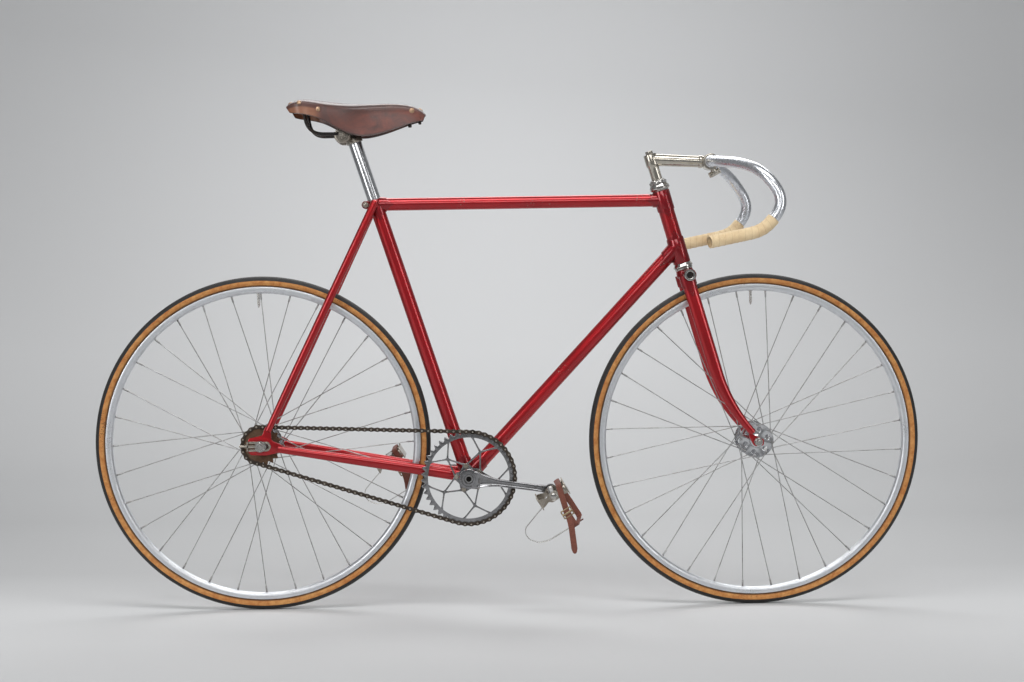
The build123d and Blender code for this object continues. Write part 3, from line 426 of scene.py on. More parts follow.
def make_wear_groups():
    """Shared effects: flecks knocked out of a finish, fine scratches, painted shade in occluded corners and
    tarnish.
    """
    tree, given, out = group("Flecks", [("Scale", 60.0), ("Amount", 0.5)], ["Mask"])
    spot = here(tree)
    rough = add(tree, "ShaderNodeTexVoronoi", {"Vector": spot, "Scale": given["Scale"], "Randomness": 1.0})
    patch = noise(tree, spot, 14.0, 2.0)
    size = times(tree, between(tree, patch, 0.5, 0.75), given["Amount"])
    edge = plus(tree, rough.outputs["Distance"], times(tree, noise(tree, spot, 900.0), 0.12))
    tree.links.new(between(tree, maths(tree, "SUBTRACT", size, edge), -0.02, 0.02), out["Mask"])

    tree, given, out = group("Scratches", [("Scale", 200.0), ("Along", 0.06)], ["Mask"])
    spot = add(tree, "ShaderNodeTexCoord").outputs["Object"]
    turned = add(tree, "ShaderNodeCombineXYZ", {0: given["Along"], 1: 1.0, 2: 1.0}).outputs[0]
    first = add(tree, "ShaderNodeMapping", {"Vector": spot, "Rotation": (0.4, 0.9, 0.2),
                                            "Scale": turned}).outputs[0]
    second = add(tree, "ShaderNodeMapping", {"Vector": spot, "Rotation": (1.4, -0.5, 1.1),
                                             "Scale": turned}).outputs[0]
    a = add(tree, "ShaderNodeTexNoise", {"Vector": first, "Scale": given["Scale"], "Detail": 4.0}).outputs[0]
    b = add(tree, "ShaderNodeTexNoise", {"Vector": second, "Scale": given["Scale"], "Detail": 4.0}).outputs[0]
    lines = maths(tree, "MAXIMUM", between(tree, a, 0.66, 0.74), between(tree, b, 0.66, 0.74))
    tree.links.new(lines, out["Mask"])

    # Painted shade: a mask that darkens corners which ambient occlusion finds hidden, broken up by a noise
    # cloud.
    tree, given, out = group("CornerShade", [("Scale", 18.0), ("Reach", 0.006)], ["Mask", "Cloud"])
    spot = here(tree)
    cloud = noise(tree, spot, given["Scale"], 6.0, 0.65)
    corner = add(tree, "ShaderNodeAmbientOcclusion", {"Distance": given["Reach"]}, samples=6).outputs["AO"]
    hidden = between(tree, corner, 0.35, 0.95, 1.0, 0.0)
    mask = times(tree, hidden, between(tree, cloud, 0.3, 0.62), clamp=True)
    tree.links.new(mask, out["Mask"])
    tree.links.new(cloud, out["Cloud"])


def material(name):
    """An empty material: its tree and its surface shader."""
    made = bpy.data.materials.new(name)
    made.use_nodes = True
    tree = made.node_tree
    return made, tree, tree.nodes["Principled BSDF"]


def feed(tree, shader, **sockets):
    """Values or other nodes' sockets into a node's inputs, by name."""
    for label, value in sockets.items():
        socket = shader.inputs[label.replace("_", " ")]
        if isinstance(value, bpy.types.NodeSocket):
            tree.links.new(value, socket)
        else:
            socket.default_value = value


def bump(tree, height, strength, distance):
    """A surface normal from heights in metres times strength."""
    return add(tree, "ShaderNodeBump", {"Height": height, "Strength": strength,
                                        "Distance": distance}).outputs[0]


def red_enamel(name, bright, deep, chipping):
    """See-through enamel over a bright ground, darker toward the edges, chipped, with painted shade in its
    occluded corners.
    """
    made, tree, shader = material(name)
    spot = here(tree)
    depth = between(tree, noise(tree, spot, 9.0, 5.0), 0.35, 0.75, 0.0, 0.5)
    colour = blend(tree, depth, bright, deep)
    # Painted shade: occluded corners darkened toward near-black red.
    corner_shade = use(tree, "CornerShade", Scale=30.0, Reach=0.008)
    colour = blend(tree, corner_shade["Mask"], colour, (0.025, 0.006, 0.006))
    chips = use(tree, "Flecks", Scale=190.0, Amount=chipping)["Mask"]
    small = use(tree, "Flecks", Scale=520.0, Amount=chipping * 0.9)["Mask"]
    chips = maths(tree, "MAXIMUM", chips, small)
    lines = use(tree, "Scratches", Scale=160.0)["Mask"]
    ground = blend(tree, noise(tree, spot, 300.0), (0.05, 0.03, 0.025), (0.36, 0.27, 0.23))
    colour = blend(tree, chips, colour, ground)
    orange_peel = noise(tree, spot, 260.0, 2.0)
    height = plus(tree, times(tree, orange_peel, 0.25), times(tree, chips, -1.0))
    whole = rest(tree, chips)
    feed(tree, shader, Base_Color=colour, Metallic=times(tree, whole, 0.78),
         Roughness=between(tree, lines, 0.0, 1.0, 0.33, 0.5), Coat_Weight=whole,
         Coat_Tint=(0.95, 0.52, 0.52, 1), Coat_Roughness=0.11, Coat_IOR=1.5,
         Normal=bump(tree, height, 0.10, 0.0004))
    return made


def metal(name, colour, stained, rough, tarnish, base=1.0):
    """Bare metal with tarnish clouds, pits, painted shade in the corners and fine scratches."""
    made, tree, shader = material(name)
    spot = here(tree)
    cloud = between(tree, noise(tree, spot, 42.0, 7.0, 0.7, 0.6), 0.42, 0.72)
    pits = use(tree, "Flecks", Scale=520.0, Amount=0.5)["Mask"]
    # Painted shade: occluded corners darkened toward dark brown and made less metallic.
    corner_shade = use(tree, "CornerShade", Scale=50.0, Reach=0.004)
    stain = times(tree, cloud, tarnish, clamp=True)
    tone = blend(tree, stain, colour, stained)
    tone = blend(tree, times(tree, corner_shade["Mask"], 0.85), tone, (0.035, 0.024, 0.016))
    tone = blend(tree, times(tree, pits, 0.7), tone, (0.05, 0.035, 0.025))
    lines = use(tree, "Scratches", Scale=420.0, Along=0.04)["Mask"]
    gloss = plus(tree, rough, times(tree, stain, 0.25))
    gloss = plus(tree, gloss, times(tree, lines, 0.14), clamp=True)
    height = maths(tree, "SUBTRACT", times(tree, noise(tree, spot, 700.0), 0.3), pits)
    feed(tree, shader, Base_Color=tone, Metallic=times(tree, rest(tree, corner_shade["Mask"]), base),
         Roughness=gloss, Normal=bump(tree, height, 0.16, 0.0002))
    return made


def tyre_rubber():
    """Black tread over a mottled tan sidewall, told apart by the place across the tyre."""
    made, tree, shader = material("tyre_rubber")
    spot = here(tree)
    split = place_on(tree)
    across = plus(tree, split[0], times(tree, noise(tree, spot, 60.0), 0.03))
    tread = between(tree, across, 0.560, 0.572, 0.0, 1.0)
    mottle = between(tree, noise(tree, spot, 75.0, 8.0, 0.75), 0.36, 0.66)
    broad = between(tree, noise(tree, spot, 7.0, 3.0), 0.3, 0.7)
    tan = blend(tree, mottle, (0.40, 0.13, 0.025), (0.70, 0.37, 0.12))
    tan = blend(tree, times(tree, broad, 0.45), tan, (0.55, 0.20, 0.05))
    specks = use(tree, "Flecks", Scale=330.0, Amount=0.55)["Mask"]
    tan = blend(tree, times(tree, specks, 0.75), tan, (0.10, 0.045, 0.018))
    rim_side = between(tree, across, 0.06, 0.16, 0.8, 0.0)
    tan = blend(tree, rim_side, tan, (0.12, 0.055, 0.022))
    black = blend(tree, noise(tree, spot, 120.0, 6.0), (0.006, 0.006, 0.006), (0.020, 0.018, 0.016))
    black = blend(tree, between(tree, across, 0.93, 1.02, 0.0, 0.35), black, (0.09, 0.08, 0.07))
    weave = ripples(tree, spot, 900.0, 1.0, "DIAGONAL")
    ribs = ripples(tree, spot, 500.0, 0.0, "Y")
    height = add(tree, "ShaderNodeMix", {0: tread, 2: weave, 3: ribs}).outputs[0]
    feed(tree, shader, Base_Color=blend(tree, tread, tan, black),
         Roughness=between(tree, tread, 0.0, 1.0, 0.72, 0.55), Normal=bump(tree, height, 0.35, 0.0003))
    return made


def saddle_leather():
    """Thick polished leather: dark brown on top, redder on the worn flanks, a tan band round the rear."""
    made, tree, shader = material("saddle_leather")
    spot = here(tree)
    split = place_on(tree)
    along, height_share = split[0], split[1]
    flank = between(tree, height_share, 0.62, 0.92, 1.0, 0.0)
    cloud = noise(tree, spot, 26.0, 6.0, 0.65, 0.8)
    brown = blend(tree, cloud, (0.030, 0.012, 0.010), (0.090, 0.036, 0.028))
    grain = noise(tree, here(tree, (1.0, 1.0, 2.2)), 55.0, 8.0, 0.7)
    worn = blend(tree, grain, (0.085, 0.020, 0.013), (0.25, 0.062, 0.036))
    ahead = between(tree, along, 0.25, 0.55, 0.35, 1.0)
    flank = times(tree, flank, ahead)
    colour = blend(tree, times(tree, flank, between(tree, cloud, 0.30, 0.58)), brown, worn)
    band = times(tree, between(tree, along, 0.20, 0.26, 1.0, 0.0),
                 between(tree, height_share, 0.40, 0.50, 1.0, 0.0))
    tan = blend(tree, grain, (0.17, 0.055, 0.025), (0.42, 0.18, 0.09))
    colour = blend(tree, times(tree, band, 0.9), colour, tan)
    edge = between(tree, height_share, 0.02, 0.07, 0.75, 0.0)
    colour = blend(tree, edge, colour, (0.030, 0.014, 0.010))
    specks = use(tree, "Flecks", Scale=420.0, Amount=0.4)["Mask"]
    colour = blend(tree, specks, colour, (0.30, 0.14, 0.09))
    creases = cracks(tree, spot, 420.0)
    height = plus(tree, times(tree, creases, 1.2), noise(tree, spot, 300.0))
    feed(tree, shader, Base_Color=colour, Roughness=between(tree, cloud, 0.3, 0.7, 0.34, 0.52),
         Specular_IOR_Level=0.6, Coat_Weight=0.35, Coat_Roughness=0.28,
         Normal=bump(tree, height, 0.16, 0.0004))
    return made


def strap_leather():
    """Brown strap leather, darker and cracked where it bends."""
    made, tree, shader = material("strap_leather")
    spot = here(tree)
    cloud = noise(tree, spot, 90.0, 6.0, 0.7)
    colour = blend(tree, cloud, (0.12, 0.032, 0.020), (0.33, 0.105, 0.065))
    creases = cracks(tree, spot, 700.0)
    feed(tree, shader, Base_Color=blend(tree, between(tree, creases, 0.0, 0.12, 0.7, 0.0), colour,
                                        (0.04, 0.014, 0.01)), Roughness=0.58,
         Normal=bump(tree, creases, 0.35, 0.0004))
    return made


def bar_cloth():
    """Cream cotton tape wound round the bar: a twill weave, lapped edges and stains."""
    made, tree, shader = material("bar_cloth")
    spot = here(tree)
    split = place_on(tree)
    angle = maths(tree, "DIVIDE", maths(tree, "ARCTAN2", split[2], split[1]), 2 * math.pi)
    wind = maths(tree, "FRACT", plus(tree, maths(tree, "DIVIDE", split[0], TAPE_STEP), angle))
    lap = between(tree, wind, 0.0, 0.10, 1.0, 0.0)
    stain = between(tree, noise(tree, spot, 38.0, 5.0, 0.6), 0.42, 0.72)
    cloth = blend(tree, stain, (0.90, 0.70, 0.43), (0.76, 0.53, 0.29))
    cloth = blend(tree, times(tree, lap, 0.3), cloth, (0.50, 0.32, 0.15))
    weave = ripples(tree, spot, 620.0, 0.6, "DIAGONAL")
    height = plus(tree, weave, times(tree, rest(tree, lap), 2.5))
    feed(tree, shader, Base_Color=cloth, Roughness=0.9, Sheen_Weight=0.25,
         Normal=bump(tree, height, 0.5, 0.0004))
    return made


def studio_paper():
    """Pale seamless paper with painted light: its floor colour lighter just in front of the bicycle than
    toward the camera, its wall colour lighter in the middle and further back up the curve, and a glow on the
    wall behind painted as emission for camera, glossy and transmission rays.
    It is clear from its back, so that the far side can be looked at through it."""
    made, tree, shader = material("studio_paper")
    front = rest(tree, add(tree, "ShaderNodeNewGeometry").outputs["Backfacing"])
    spot = here(tree)
    split = add(tree, "ShaderNodeSeparateXYZ", {0: spot}).outputs
    floor_edge = between(tree, split[1], 0.0, 0.42)
    # Painted light: the floor colour lighter near the bicycle than toward the camera.
    near = between(tree, split[1], -0.78, -0.30)
    shade = blend(tree, near, (0.54, 0.545, 0.55), (0.645, 0.65, 0.655))
    # Painted light: a glow round the wall's middle, which drives the emission below.
    from_middle = add(tree, "ShaderNodeMapping", {"Vector": spot, "Location": (-0.21, 0.0, -0.16),
                                                  "Scale": (0.43, 0.0, 0.55)})
    distance = add(tree, "ShaderNodeVectorMath", {0: from_middle.outputs[0]},
                   operation="LENGTH").outputs["Value"]
    glow = fading(tree, distance, 0.0, 1.05)
    # Painted light: the wall colour lighter in its middle than at its sides, and lighter further back up its
    # curve.
    beside = add(tree, "ShaderNodeMapping", {"Vector": spot, "Location": (-0.21, 0.0, 0.0),
                                             "Scale": (0.43, 0.0, 0.0)})
    aside = add(tree, "ShaderNodeVectorMath", {0: beside.outputs[0]}, operation="LENGTH").outputs["Value"]
    middle = fading(tree, aside, 0.1, 0.9)
    back = blend(tree, middle, (0.46, 0.465, 0.47), (0.59, 0.595, 0.60))
    wall = between(tree, split[1], 1.2, 3.2)
    far = blend(tree, wall, back, (0.69, 0.695, 0.70))
    colour = blend(tree, floor_edge, shade, far)
    # Painted light: the wall glows for camera, glossy and transmission rays, brightest round the glow's
    # middle.
    light = add(tree, "ShaderNodeLightPath").outputs
    seen = maths(tree, "MAXIMUM", light["Is Camera Ray"], maths(tree, "MAXIMUM", light["Is Glossy Ray"],
                                                                light["Is Transmission Ray"]))
    lift = times(tree, plus(tree, times(tree, glow, 0.18), 0.05), times(tree, wall, seen))
    feed(tree, shader, Base_Color=colour, Roughness=0.85, Specular_IOR_Level=0.25,
         Emission_Color=(0.97, 0.98, 1.0, 1), Emission_Strength=lift, Alpha=front)
    return made


make_wear_groups()
RED = red_enamel("red_enamel", (0.47, 0.011, 0.022), (0.27, 0.005, 0.012), 0.36)
# Painted shade: a darker copy of the frame's red enamel for the lugs, crown and bracket shell, which wear the
# same paint as the tubes.
SHADED_LUG_RED = red_enamel("red_enamel_shaded_on_lugs", (0.31, 0.009, 0.020), (0.15, 0.004, 0.011), 0.42)
ALLOY = metal("polished_alloy", (0.66, 0.67, 0.69), (0.40, 0.40, 0.41), 0.17, 0.5)
BAR_ALLOY = metal("bar_alloy", (0.80, 0.82, 0.86), (0.60, 0.62, 0.66), 0.24, 0.45)
RIM_ALLOY = metal("rim_alloy", (0.76, 0.78, 0.81), (0.52, 0.53, 0.55), 0.36, 0.5)
NICKEL = metal("dull_nickel", (0.50, 0.46, 0.40), (0.20, 0.16, 0.12), 0.22, 0.8)
STEM_NICKEL = metal("worn_nickel", (0.58, 0.545, 0.48), (0.40, 0.35, 0.28), 0.15, 0.55)
DARK_STEEL = metal("dark_polished_steel", (0.33, 0.33, 0.34), (0.13, 0.125, 0.12), 0.17, 0.7)
CHROME = metal("chrome", (0.62, 0.61, 0.59), (0.26, 0.22, 0.18), 0.13, 0.6)
SPOKE_STEEL = metal("spoke_steel", (0.46, 0.46, 0.46), (0.22, 0.20, 0.18), 0.34, 0.8)
BLACK_STEEL = metal("black_steel", (0.035, 0.033, 0.032), (0.09, 0.055, 0.04), 0.24, 0.5, base=0.7)
CHAIN_STEEL = metal("oily_chain", (0.080, 0.064, 0.052), (0.026, 0.020, 0.016), 0.36, 0.9, base=0.85)
RUSTY_STEEL = metal("rusty_steel", (0.17, 0.105, 0.065), (0.075, 0.035, 0.018), 0.46, 1.0, base=0.7)
OLD_BRASS = metal("old_brass", (0.44, 0.34, 0.21), (0.16, 0.10, 0.06), 0.24, 0.8)
# A near-black metal for discs that stand in for the shade inside bores: painted shade.
HOLLOW_SHADE = metal("painted_hollow_shade", (0.014, 0.013, 0.012), (0.006, 0.006, 0.006), 0.5, 0.8)
COPPER = metal("copper_rivet", (0.62, 0.42, 0.28), (0.30, 0.16, 0.09), 0.28, 0.6)
TYRE = tyre_rubber()
LEATHER = saddle_leather()
STRAP = strap_leather()
CLOTH = bar_cloth()


# Wheels


def tyre(centre):
    """A torus: at each angle t the oval (R + high cos v, wide sin v), open at the rim."""
    v = np.linspace(-2.42, 2.42, 33)
    r = np.concatenate([TYRE_RING + TYRE_HIGH * np.cos(v), [316.4, 316.4]])
    h = np.concatenate([TYRE_WIDE * np.sin(v), [6.0, -6.0]])
    t = turns(288)
    points = np.zeros((len(t), len(r), 3))
    points[..., 0] = centre[0] + np.cos(t)[:, None] * r
    points[..., 1] = h
    points[..., 2] = centre[2] + np.sin(t)[:, None] * r
    place = np.zeros_like(points)
    place[..., 0] = np.clip((r - 317.5) / 19.5, 0, 1)
    return grid(points, wrap=True, place=place)


def rim(centre):
    """A box rim: flat braking sides, a rounded bed toward the hub and a hollow under the tyre."""
    profile = rounded([(302.6, -3.5), (304.5, -7.5), (308.5, -9.8), (315.8, -9.8), (315.8, -8.2),
                       (313.5, 0.0), (315.8, 8.2), (315.8, 9.8), (308.5, 9.8), (304.5, 7.5), (302.6, 3.5)],
                      1.4, 3)
    return lathe(profile, centre, LEFT, 224, wrap=True)


def copies(base, moved):
    """One part out of many copies of another, given the moved points of each copy."""
    points, faces, place = base
    shift = (np.arange(len(moved)) * len(points))[:, None, None]
    blocks = [(block[None] + shift).reshape(-1, block.shape[1]) for block in faces]
    return moved.reshape(-1, 3), blocks, np.tile(place, (len(moved), 1))


def many(base, centres, axes):
    """Copies of a part about the origin, its z axis turned to each axis and moved to each centre."""
    along = unit(axes)
    helper = np.where(np.abs(along[:, 1:2]) > 0.9, AHEAD, LEFT)
    first = unit(helper - along * np.sum(helper * along, axis=1)[:, None])
    second = np.cross(along, first)
    turned = np.einsum("pk,kcx->cpx", base[0], np.stack([first, second, along]))
    return copies(base, turned + centres[:, None])


def spoke_ends(centre, phase, flange):
    """Where each spoke leaves its flange and meets the rim, three crossings on each side."""
    index = np.arange(SPOKES)
    side = np.where(index % 2, 1, -1)
    lead = np.where((index // 2) % 2, 1, -1)
    at_rim = polar(centre, phase + index * SPOKE_STEP, 302.8, side * 1.5)
    at_hub = polar(centre, phase + index * SPOKE_STEP + lead * 67.5, 31.0, side * (flange + lead * 2.4))
    return at_hub, at_rim, side, lead


def spokes(centre, phase, flange):
    """Spokes as thin round wires with a head on the flange, swelling to the nipple at the rim."""
    at_hub, at_rim, side, lead = spoke_ends(centre, phase, flange)
    t = turns(8)
    run = at_rim - at_hub
    parts = []
    shape = [(0.9, 0.0), (0.95, 0.02), (0.88, 0.5), (0.95, 0.94), (0.95, 0.955), (1.7, 0.957), (1.8, 0.995),
             (1.2, 1.0)]
    way = unit(run)
    side_way = unit(np.cross(way, like(LEFT, way)))
    other = np.cross(way, side_way)
    for k in range(SPOKES):
        ring = circle(t, side_way[k], other[k])
        rings = [at_hub[k] + run[k] * s + r * ring for r, s in shape]
        parts.append(grid(np.array(rings)))
    head = lathe([(1.9, -1.0), (2.0, -0.4), (1.6, 0.6), (0.6, 0.9)], np.zeros(3), UP, 10)
    parts.append(many(head, at_hub, LEFT * lead[:, None] * side[:, None]))
    return parts


def eyelets(centre, phase):
    """A small raised ring round each nipple on the rim's bed."""
    index = np.arange(SPOKES)
    at = polar(centre, phase + index * SPOKE_STEP, 302.9, np.where(index % 2, 1.5, -1.5))
    ring = lathe([(2.3, 0.6), (3.6, 0.5), (3.9, -0.1), (3.9, -0.8), (2.3, -0.8)], np.zeros(3), UP, 14,
                 wrap=True)
    return many(ring, at, centre - at)


def flange(centre, y, phase):
    """A flange with round holes: sectors whose inner edge is a hole, c + r (p - c) / |p - c|."""
    thick, holes, hole_r, hole_at, outer, inner = 3.0, 6, 5.2, 23.5, 35.0, 12.0
    turn = np.linspace(0, 1, 9)[:-1]
    half = np.pi / holes
    a = -half + turn * 2 * half
    radial = inner + turn * (outer - inner)
    edge = np.concatenate([np.stack([outer * np.cos(a), outer * np.sin(a)], 1),
                           np.stack([(outer + inner - radial) * np.cos(half),
                                     (outer + inner - radial) * np.sin(half)], 1),
                           np.stack([inner * np.cos(-a), inner * np.sin(-a)], 1),
                           np.stack([radial * np.cos(-half), radial * np.sin(-half)], 1)])
    middle = np.array([hole_at, 0.0])
    way = unit(edge - middle)
    hole = middle + hole_r * way
    lip = middle + (hole_r + 0.5) * way
    rows = [(hole, -0.5), (hole, 0.5), (lip, 0.62), (edge, 0.62), (edge, -0.62), (lip, -0.62)]
    parts = []
    for k in range(holes):
        c, s = math.cos(phase + 2 * half * k), math.sin(phase + 2 * half * k)
        rings = []
        for ring, h in rows:
            x = ring[:, 0] * c - ring[:, 1] * s
            z = ring[:, 0] * s + ring[:, 1] * c
            rings.append(np.column_stack([centre[0] + x, np.full(len(x), y + h * thick / 1.24),
                                          centre[2] + z]))
        parts.append(grid(np.array(rings), wrap=True))
    return parts


def hub(centre, flange_y, half, phase):
    """A barrel waisted between two large drilled flanges, with dust caps at the ends."""
    profile = [(6.0, -half), (9.4, -half), (10.0, -half + 0.8), (10.0, -flange_y - 7),
               (13.0, -flange_y - 5), (13.6, -flange_y - 1), (13.6, -flange_y + 2), (12.2, -flange_y + 6),
               (11.0, -flange_y + 13), (10.6, 0)]
    profile = profile + [(r, -h) for r, h in profile[-2::-1]]
    parts = [lathe(profile, centre, LEFT, 56)]
    for side in (-1, 1):
        parts += flange(centre, side * flange_y, phase)
        rim_ring = rounded([(33.6, -1.5), (35.0, -1.2), (35.0, 1.2), (33.6, 1.5)], 0.5, 3)
        parts.append(lathe(rim_ring, centre + LEFT * side * flange_y, LEFT, 72, wrap=True))
    return parts


def valve(centre):
    """A slim stem with a knurled nut and a cap, standing on the rim's bed toward the hub."""
    angle = math.radians(91.4)
    way = -np.array([math.cos(angle), 0, math.sin(angle)])
    foot = centre - way * 303.5
    profile = [(4.2, 0), (4.2, 1.6), (2.6, 1.8), (2.6, 14), (2.9, 14.2), (2.9, 24), (2.2, 25), (1.4, 28),
               (0.9, 29), (0.5, 29.4)]
    return lathe(profile, foot, way, 20)


def make_wheels():
    """Both wheels: tyre, rim with eyelets, spokes and hub."""
    for name, centre, phase, fl, half in (("front", FRONT, 85.65, 29.0, 39.5),
                                          ("rear", REAR, 90.5, 27.0, 46.5)):
        body = name + "_wheel"
        piece(name + "_tyre_round", [tyre(centre)], body, TYRE, [name + "_tyre"], 60)
        piece(name + "_rim_box", [rim(centre), eyelets(centre, phase)], body, RIM_ALLOY, [name + "_rim"])
        piece(name + "_spoke_wires", spokes(centre, phase, fl), body, SPOKE_STEEL, [name + "_spokes"],
              50)
        piece(name + "_hub_drilled", hub(centre, fl, half, 0.3), body, ALLOY, [name + "_hub"])
    piece("valve_stem", [valve(FRONT)], "front_wheel", CHROME)
    piece("valve_stem_rear", [valve(REAR)], "rear_wheel", CHROME)


# Frame


def straight(start, end, start_r, end_r=None, sides=48, count=2):
    """A round bar between two points, its radius changing evenly."""
    s = np.linspace(0, 1, count)[:, None]
    path = start + (np.asarray(end) - start) * s
    return tube(path, start_r + ((start_r if end_r is None else end_r) - start_r) * s[:, 0], sides)


def lug(start, toward, radius, shoulder, tip, flare=0.0):
    """A sleeve with a point on each side: its edge lies at shoulder + (tip - shoulder) a^1.6,
    a being 1 - 1.15 |sin t| at the angle t round the tube from its side.
    Its wall thins to nothing over the last millimetres."""
    along, a, b = basis(toward)
    t = turns(64)
    edge = shoulder + (tip - shoulder) * np.clip(1 - np.abs(np.sin(t)) * 1.15, 0, 1) ** 1.6
    s = np.array([0.0, 0.12, 0.25, 0.4, 0.6, 0.8, 0.92, 0.97, 1.0, 1.0])
    lift = np.array([1, 1, 1, 1, 1, 1, 1, 0.92, 0.62, -0.25]) * 1.7
    ring = circle(t, a, b)
    h = edge * s[:, None]
    r = radius + lift[:, None] + flare * np.exp(-np.clip(h, 0, None) / 6.0)
    points = start + h[..., None] * along + r[..., None] * ring[None]
    return grid(points)


def main_tubes():
    """The four main tubes."""
    seat_joint, top_joint, down_joint = on_seat(SEAT_JOINT), on_head(TOP_JOINT), on_head(DOWN_JOINT)
    for name, start, end, radius, count in (("head_tube", on_head(HEAD_LOW), on_head(HEAD_HIGH), HEAD_R, 2),
                                            ("top_tube", seat_joint, top_joint, TOP_R, 40),
                                            ("seat_tube", BRACKET, on_seat(588), MAIN_R, 40),
                                            ("down_tube", BRACKET, down_joint, MAIN_R, 40)):
        tube_part = straight(start, end, radius, count=count)
        piece(name + "_round", [tube_part], "frame", RED, [name])


def head_lugs():
    """Upper and lower head lugs: a collar on the head tube and a pointed sleeve on each tube."""
    top, down = on_head(TOP_JOINT), on_head(DOWN_JOINT)
    to_seat = on_seat(SEAT_JOINT) - top
    to_bracket = BRACKET - down
    upper = [lathe([(17.5, 0), (17.7, 0.8), (17.7, 36.5), (17.2, 37.6), (15, 37.8)], on_head(500.5),
                   HEAD_UP, 64), lug(on_head(506), -HEAD_UP, HEAD_R, 9, 21),
             lug(top, to_seat, TOP_R, 22, 36, flare=2.4)]
    lower = [lathe([(15, 0.2), (17.2, 0.3), (17.7, 1.2), (17.7, 50), (17.2, 51)], on_head(HEAD_LOW),
                   HEAD_UP, 64), lug(on_head(431), HEAD_UP, HEAD_R, 8, 22),
             lug(down, to_bracket, MAIN_R, 32, 54, flare=2.6)]
    piece("head_lug_upper_cut", upper, "frame", SHADED_LUG_RED, ["head_lug_upper"])
    piece("head_lug_lower_cut", lower, "frame", SHADED_LUG_RED, ["head_lug_lower"])


def seat_cluster():
    """Seat lug with its clamp ears, and the bolt through them."""
    joint = on_seat(SEAT_JOINT)
    to_head = on_head(TOP_JOINT) - joint
    bolt_at = on_seat(577.5) - AHEAD * 20.5
    shape = [(16.1, 0), (16.1, 26.0), (15.8, 27.2), (14.6, 27.4)]
    parts = [lathe(shape, on_seat(560.5), SEAT_UP, 64), lug(on_seat(568), -SEAT_UP, MAIN_R, 10, 22),
             lug(joint, to_head, TOP_R, 22, 36, flare=2.2)]
    for side in (-1, 1):
        ear = [(5, 0), (7.4, 0), (7.8, 0.5), (7.8, 9.5), (7.2, 10.2), (4, 10.2)]
        parts.append(lathe(ear, bolt_at + LEFT * side * 2.8, LEFT * side, 40))
    outline = rounded([(-20, -8), (-1, -11), (-1, 11), (-20, 8)], 3)
    parts.append(plate(outline + bolt_at[[0, 2]] + [20.5, 0], -6.5, 6.5, 1.5))
    piece("seat_lug_cut", parts, "frame", SHADED_LUG_RED, ["seat_lug"])
    bolt = [hex_nut(bolt_at + LEFT * 13.2, LEFT, 5.6, 4.6), hex_nut(bolt_at - LEFT * 13.2, -LEFT, 5.6, 4.6),
            lathe([(4, 0), (4, 26)], bolt_at - LEFT * 13, LEFT, 24),
            lathe([(3.6, 0), (3.4, 0.6), (2.6, 1.0)], bolt_at - LEFT * 17.6, -LEFT, 24)]
    piece("seat_bolt_hex", bolt, "frame", NICKEL, ["seat_bolt"])


def chain_stay(side):
    """An oval stay, deep at the bracket, slim at the end: sections at four distances joined smoothly."""
    run = unit(REAR - BRACKET)
    d = np.linspace(14, 384, 48)
    rows = ([23, 26, 42, 59], [23, 22, 19, 14], [17, 15.5, 15, 12])
    y, height, width = (np.interp(d, [14, 100, 250, 384], row) for row in rows)
    centres = BRACKET + d[:, None] * run + LEFT * (side * y)[:, None]
    up = np.cross(run, LEFT)
    ones = np.ones((len(d), 1))
    return ovals(centres, LEFT * ones, width, up * ones, height)


def seat_stay(side):
    """A round stay, tapering to the fork end, its top cut to a scooped flat against the lug."""
    top = on_seat(582.5) + LEFT * side * 19
    foot = polar(REAR, 64, 34, side * 59)
    run = foot - top
    way = unit(run)
    s = np.linspace(0, 1, 40)
    radius = np.where(s < 0.72, 8.0, 8.0 - 1.5 * (s - 0.72) / 0.28)
    stay = tube(top + s[:, None] * run, radius, 40)
    cap = lathe([(8.0, 0), (7.9, 1.2), (6.6, 3.6), (4.0, 5.0), (0.8, 5.6)], top, -way, 40)
    return [stay, cap]


def rear_end(side):
    """A track fork end: a thick plate with its slot open to the rear."""
    slot = 5.2
    outline = [(-24, slot), (-24, 16), (4, 22), (10, 40), (21, 35), (22, 12), (44, 2), (42, -11), (12, -18),
               (-20, -17), (-24, -10), (-24, -slot), (14, -slot), (16.4, 0), (14, slot)]
    outline = rounded(outline, 4, 4) + [0, 337]
    low, high = sorted((side * 56, side * 62))
    return plate(outline, low, high, 0.8)


def rear_triangle():
    """Stays, fork ends and the bridges between the stays."""
    for side, name in ((1, "left"), (-1, "right")):
        piece("chain_stay_oval_" + name, [chain_stay(side)], "frame", RED, ["chain_stay_" + name])
        piece("seat_stay_round_" + name, seat_stay(side), "frame", RED, ["seat_stay_" + name])
    piece("rear_fork_end_plates", [rear_end(-1), rear_end(1)], "frame", RED, ["rear_fork_ends"])
    low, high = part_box("stay_bridges")
    low, high = np.array(low) * 1000 + RIDER, np.array(high) * 1000 + RIDER
    spots = (AHEAD * (low[0] + 6) + UP * (high[2] - 6), AHEAD * (high[0] - 6) + UP * (low[2] + 6))
    parts = [lathe([(5.9, -24), (5.9, 24)], spot, LEFT, 32) for spot in spots]
    piece("stay_bridge_tubes", parts, "frame", RED, ["stay_bridges"])


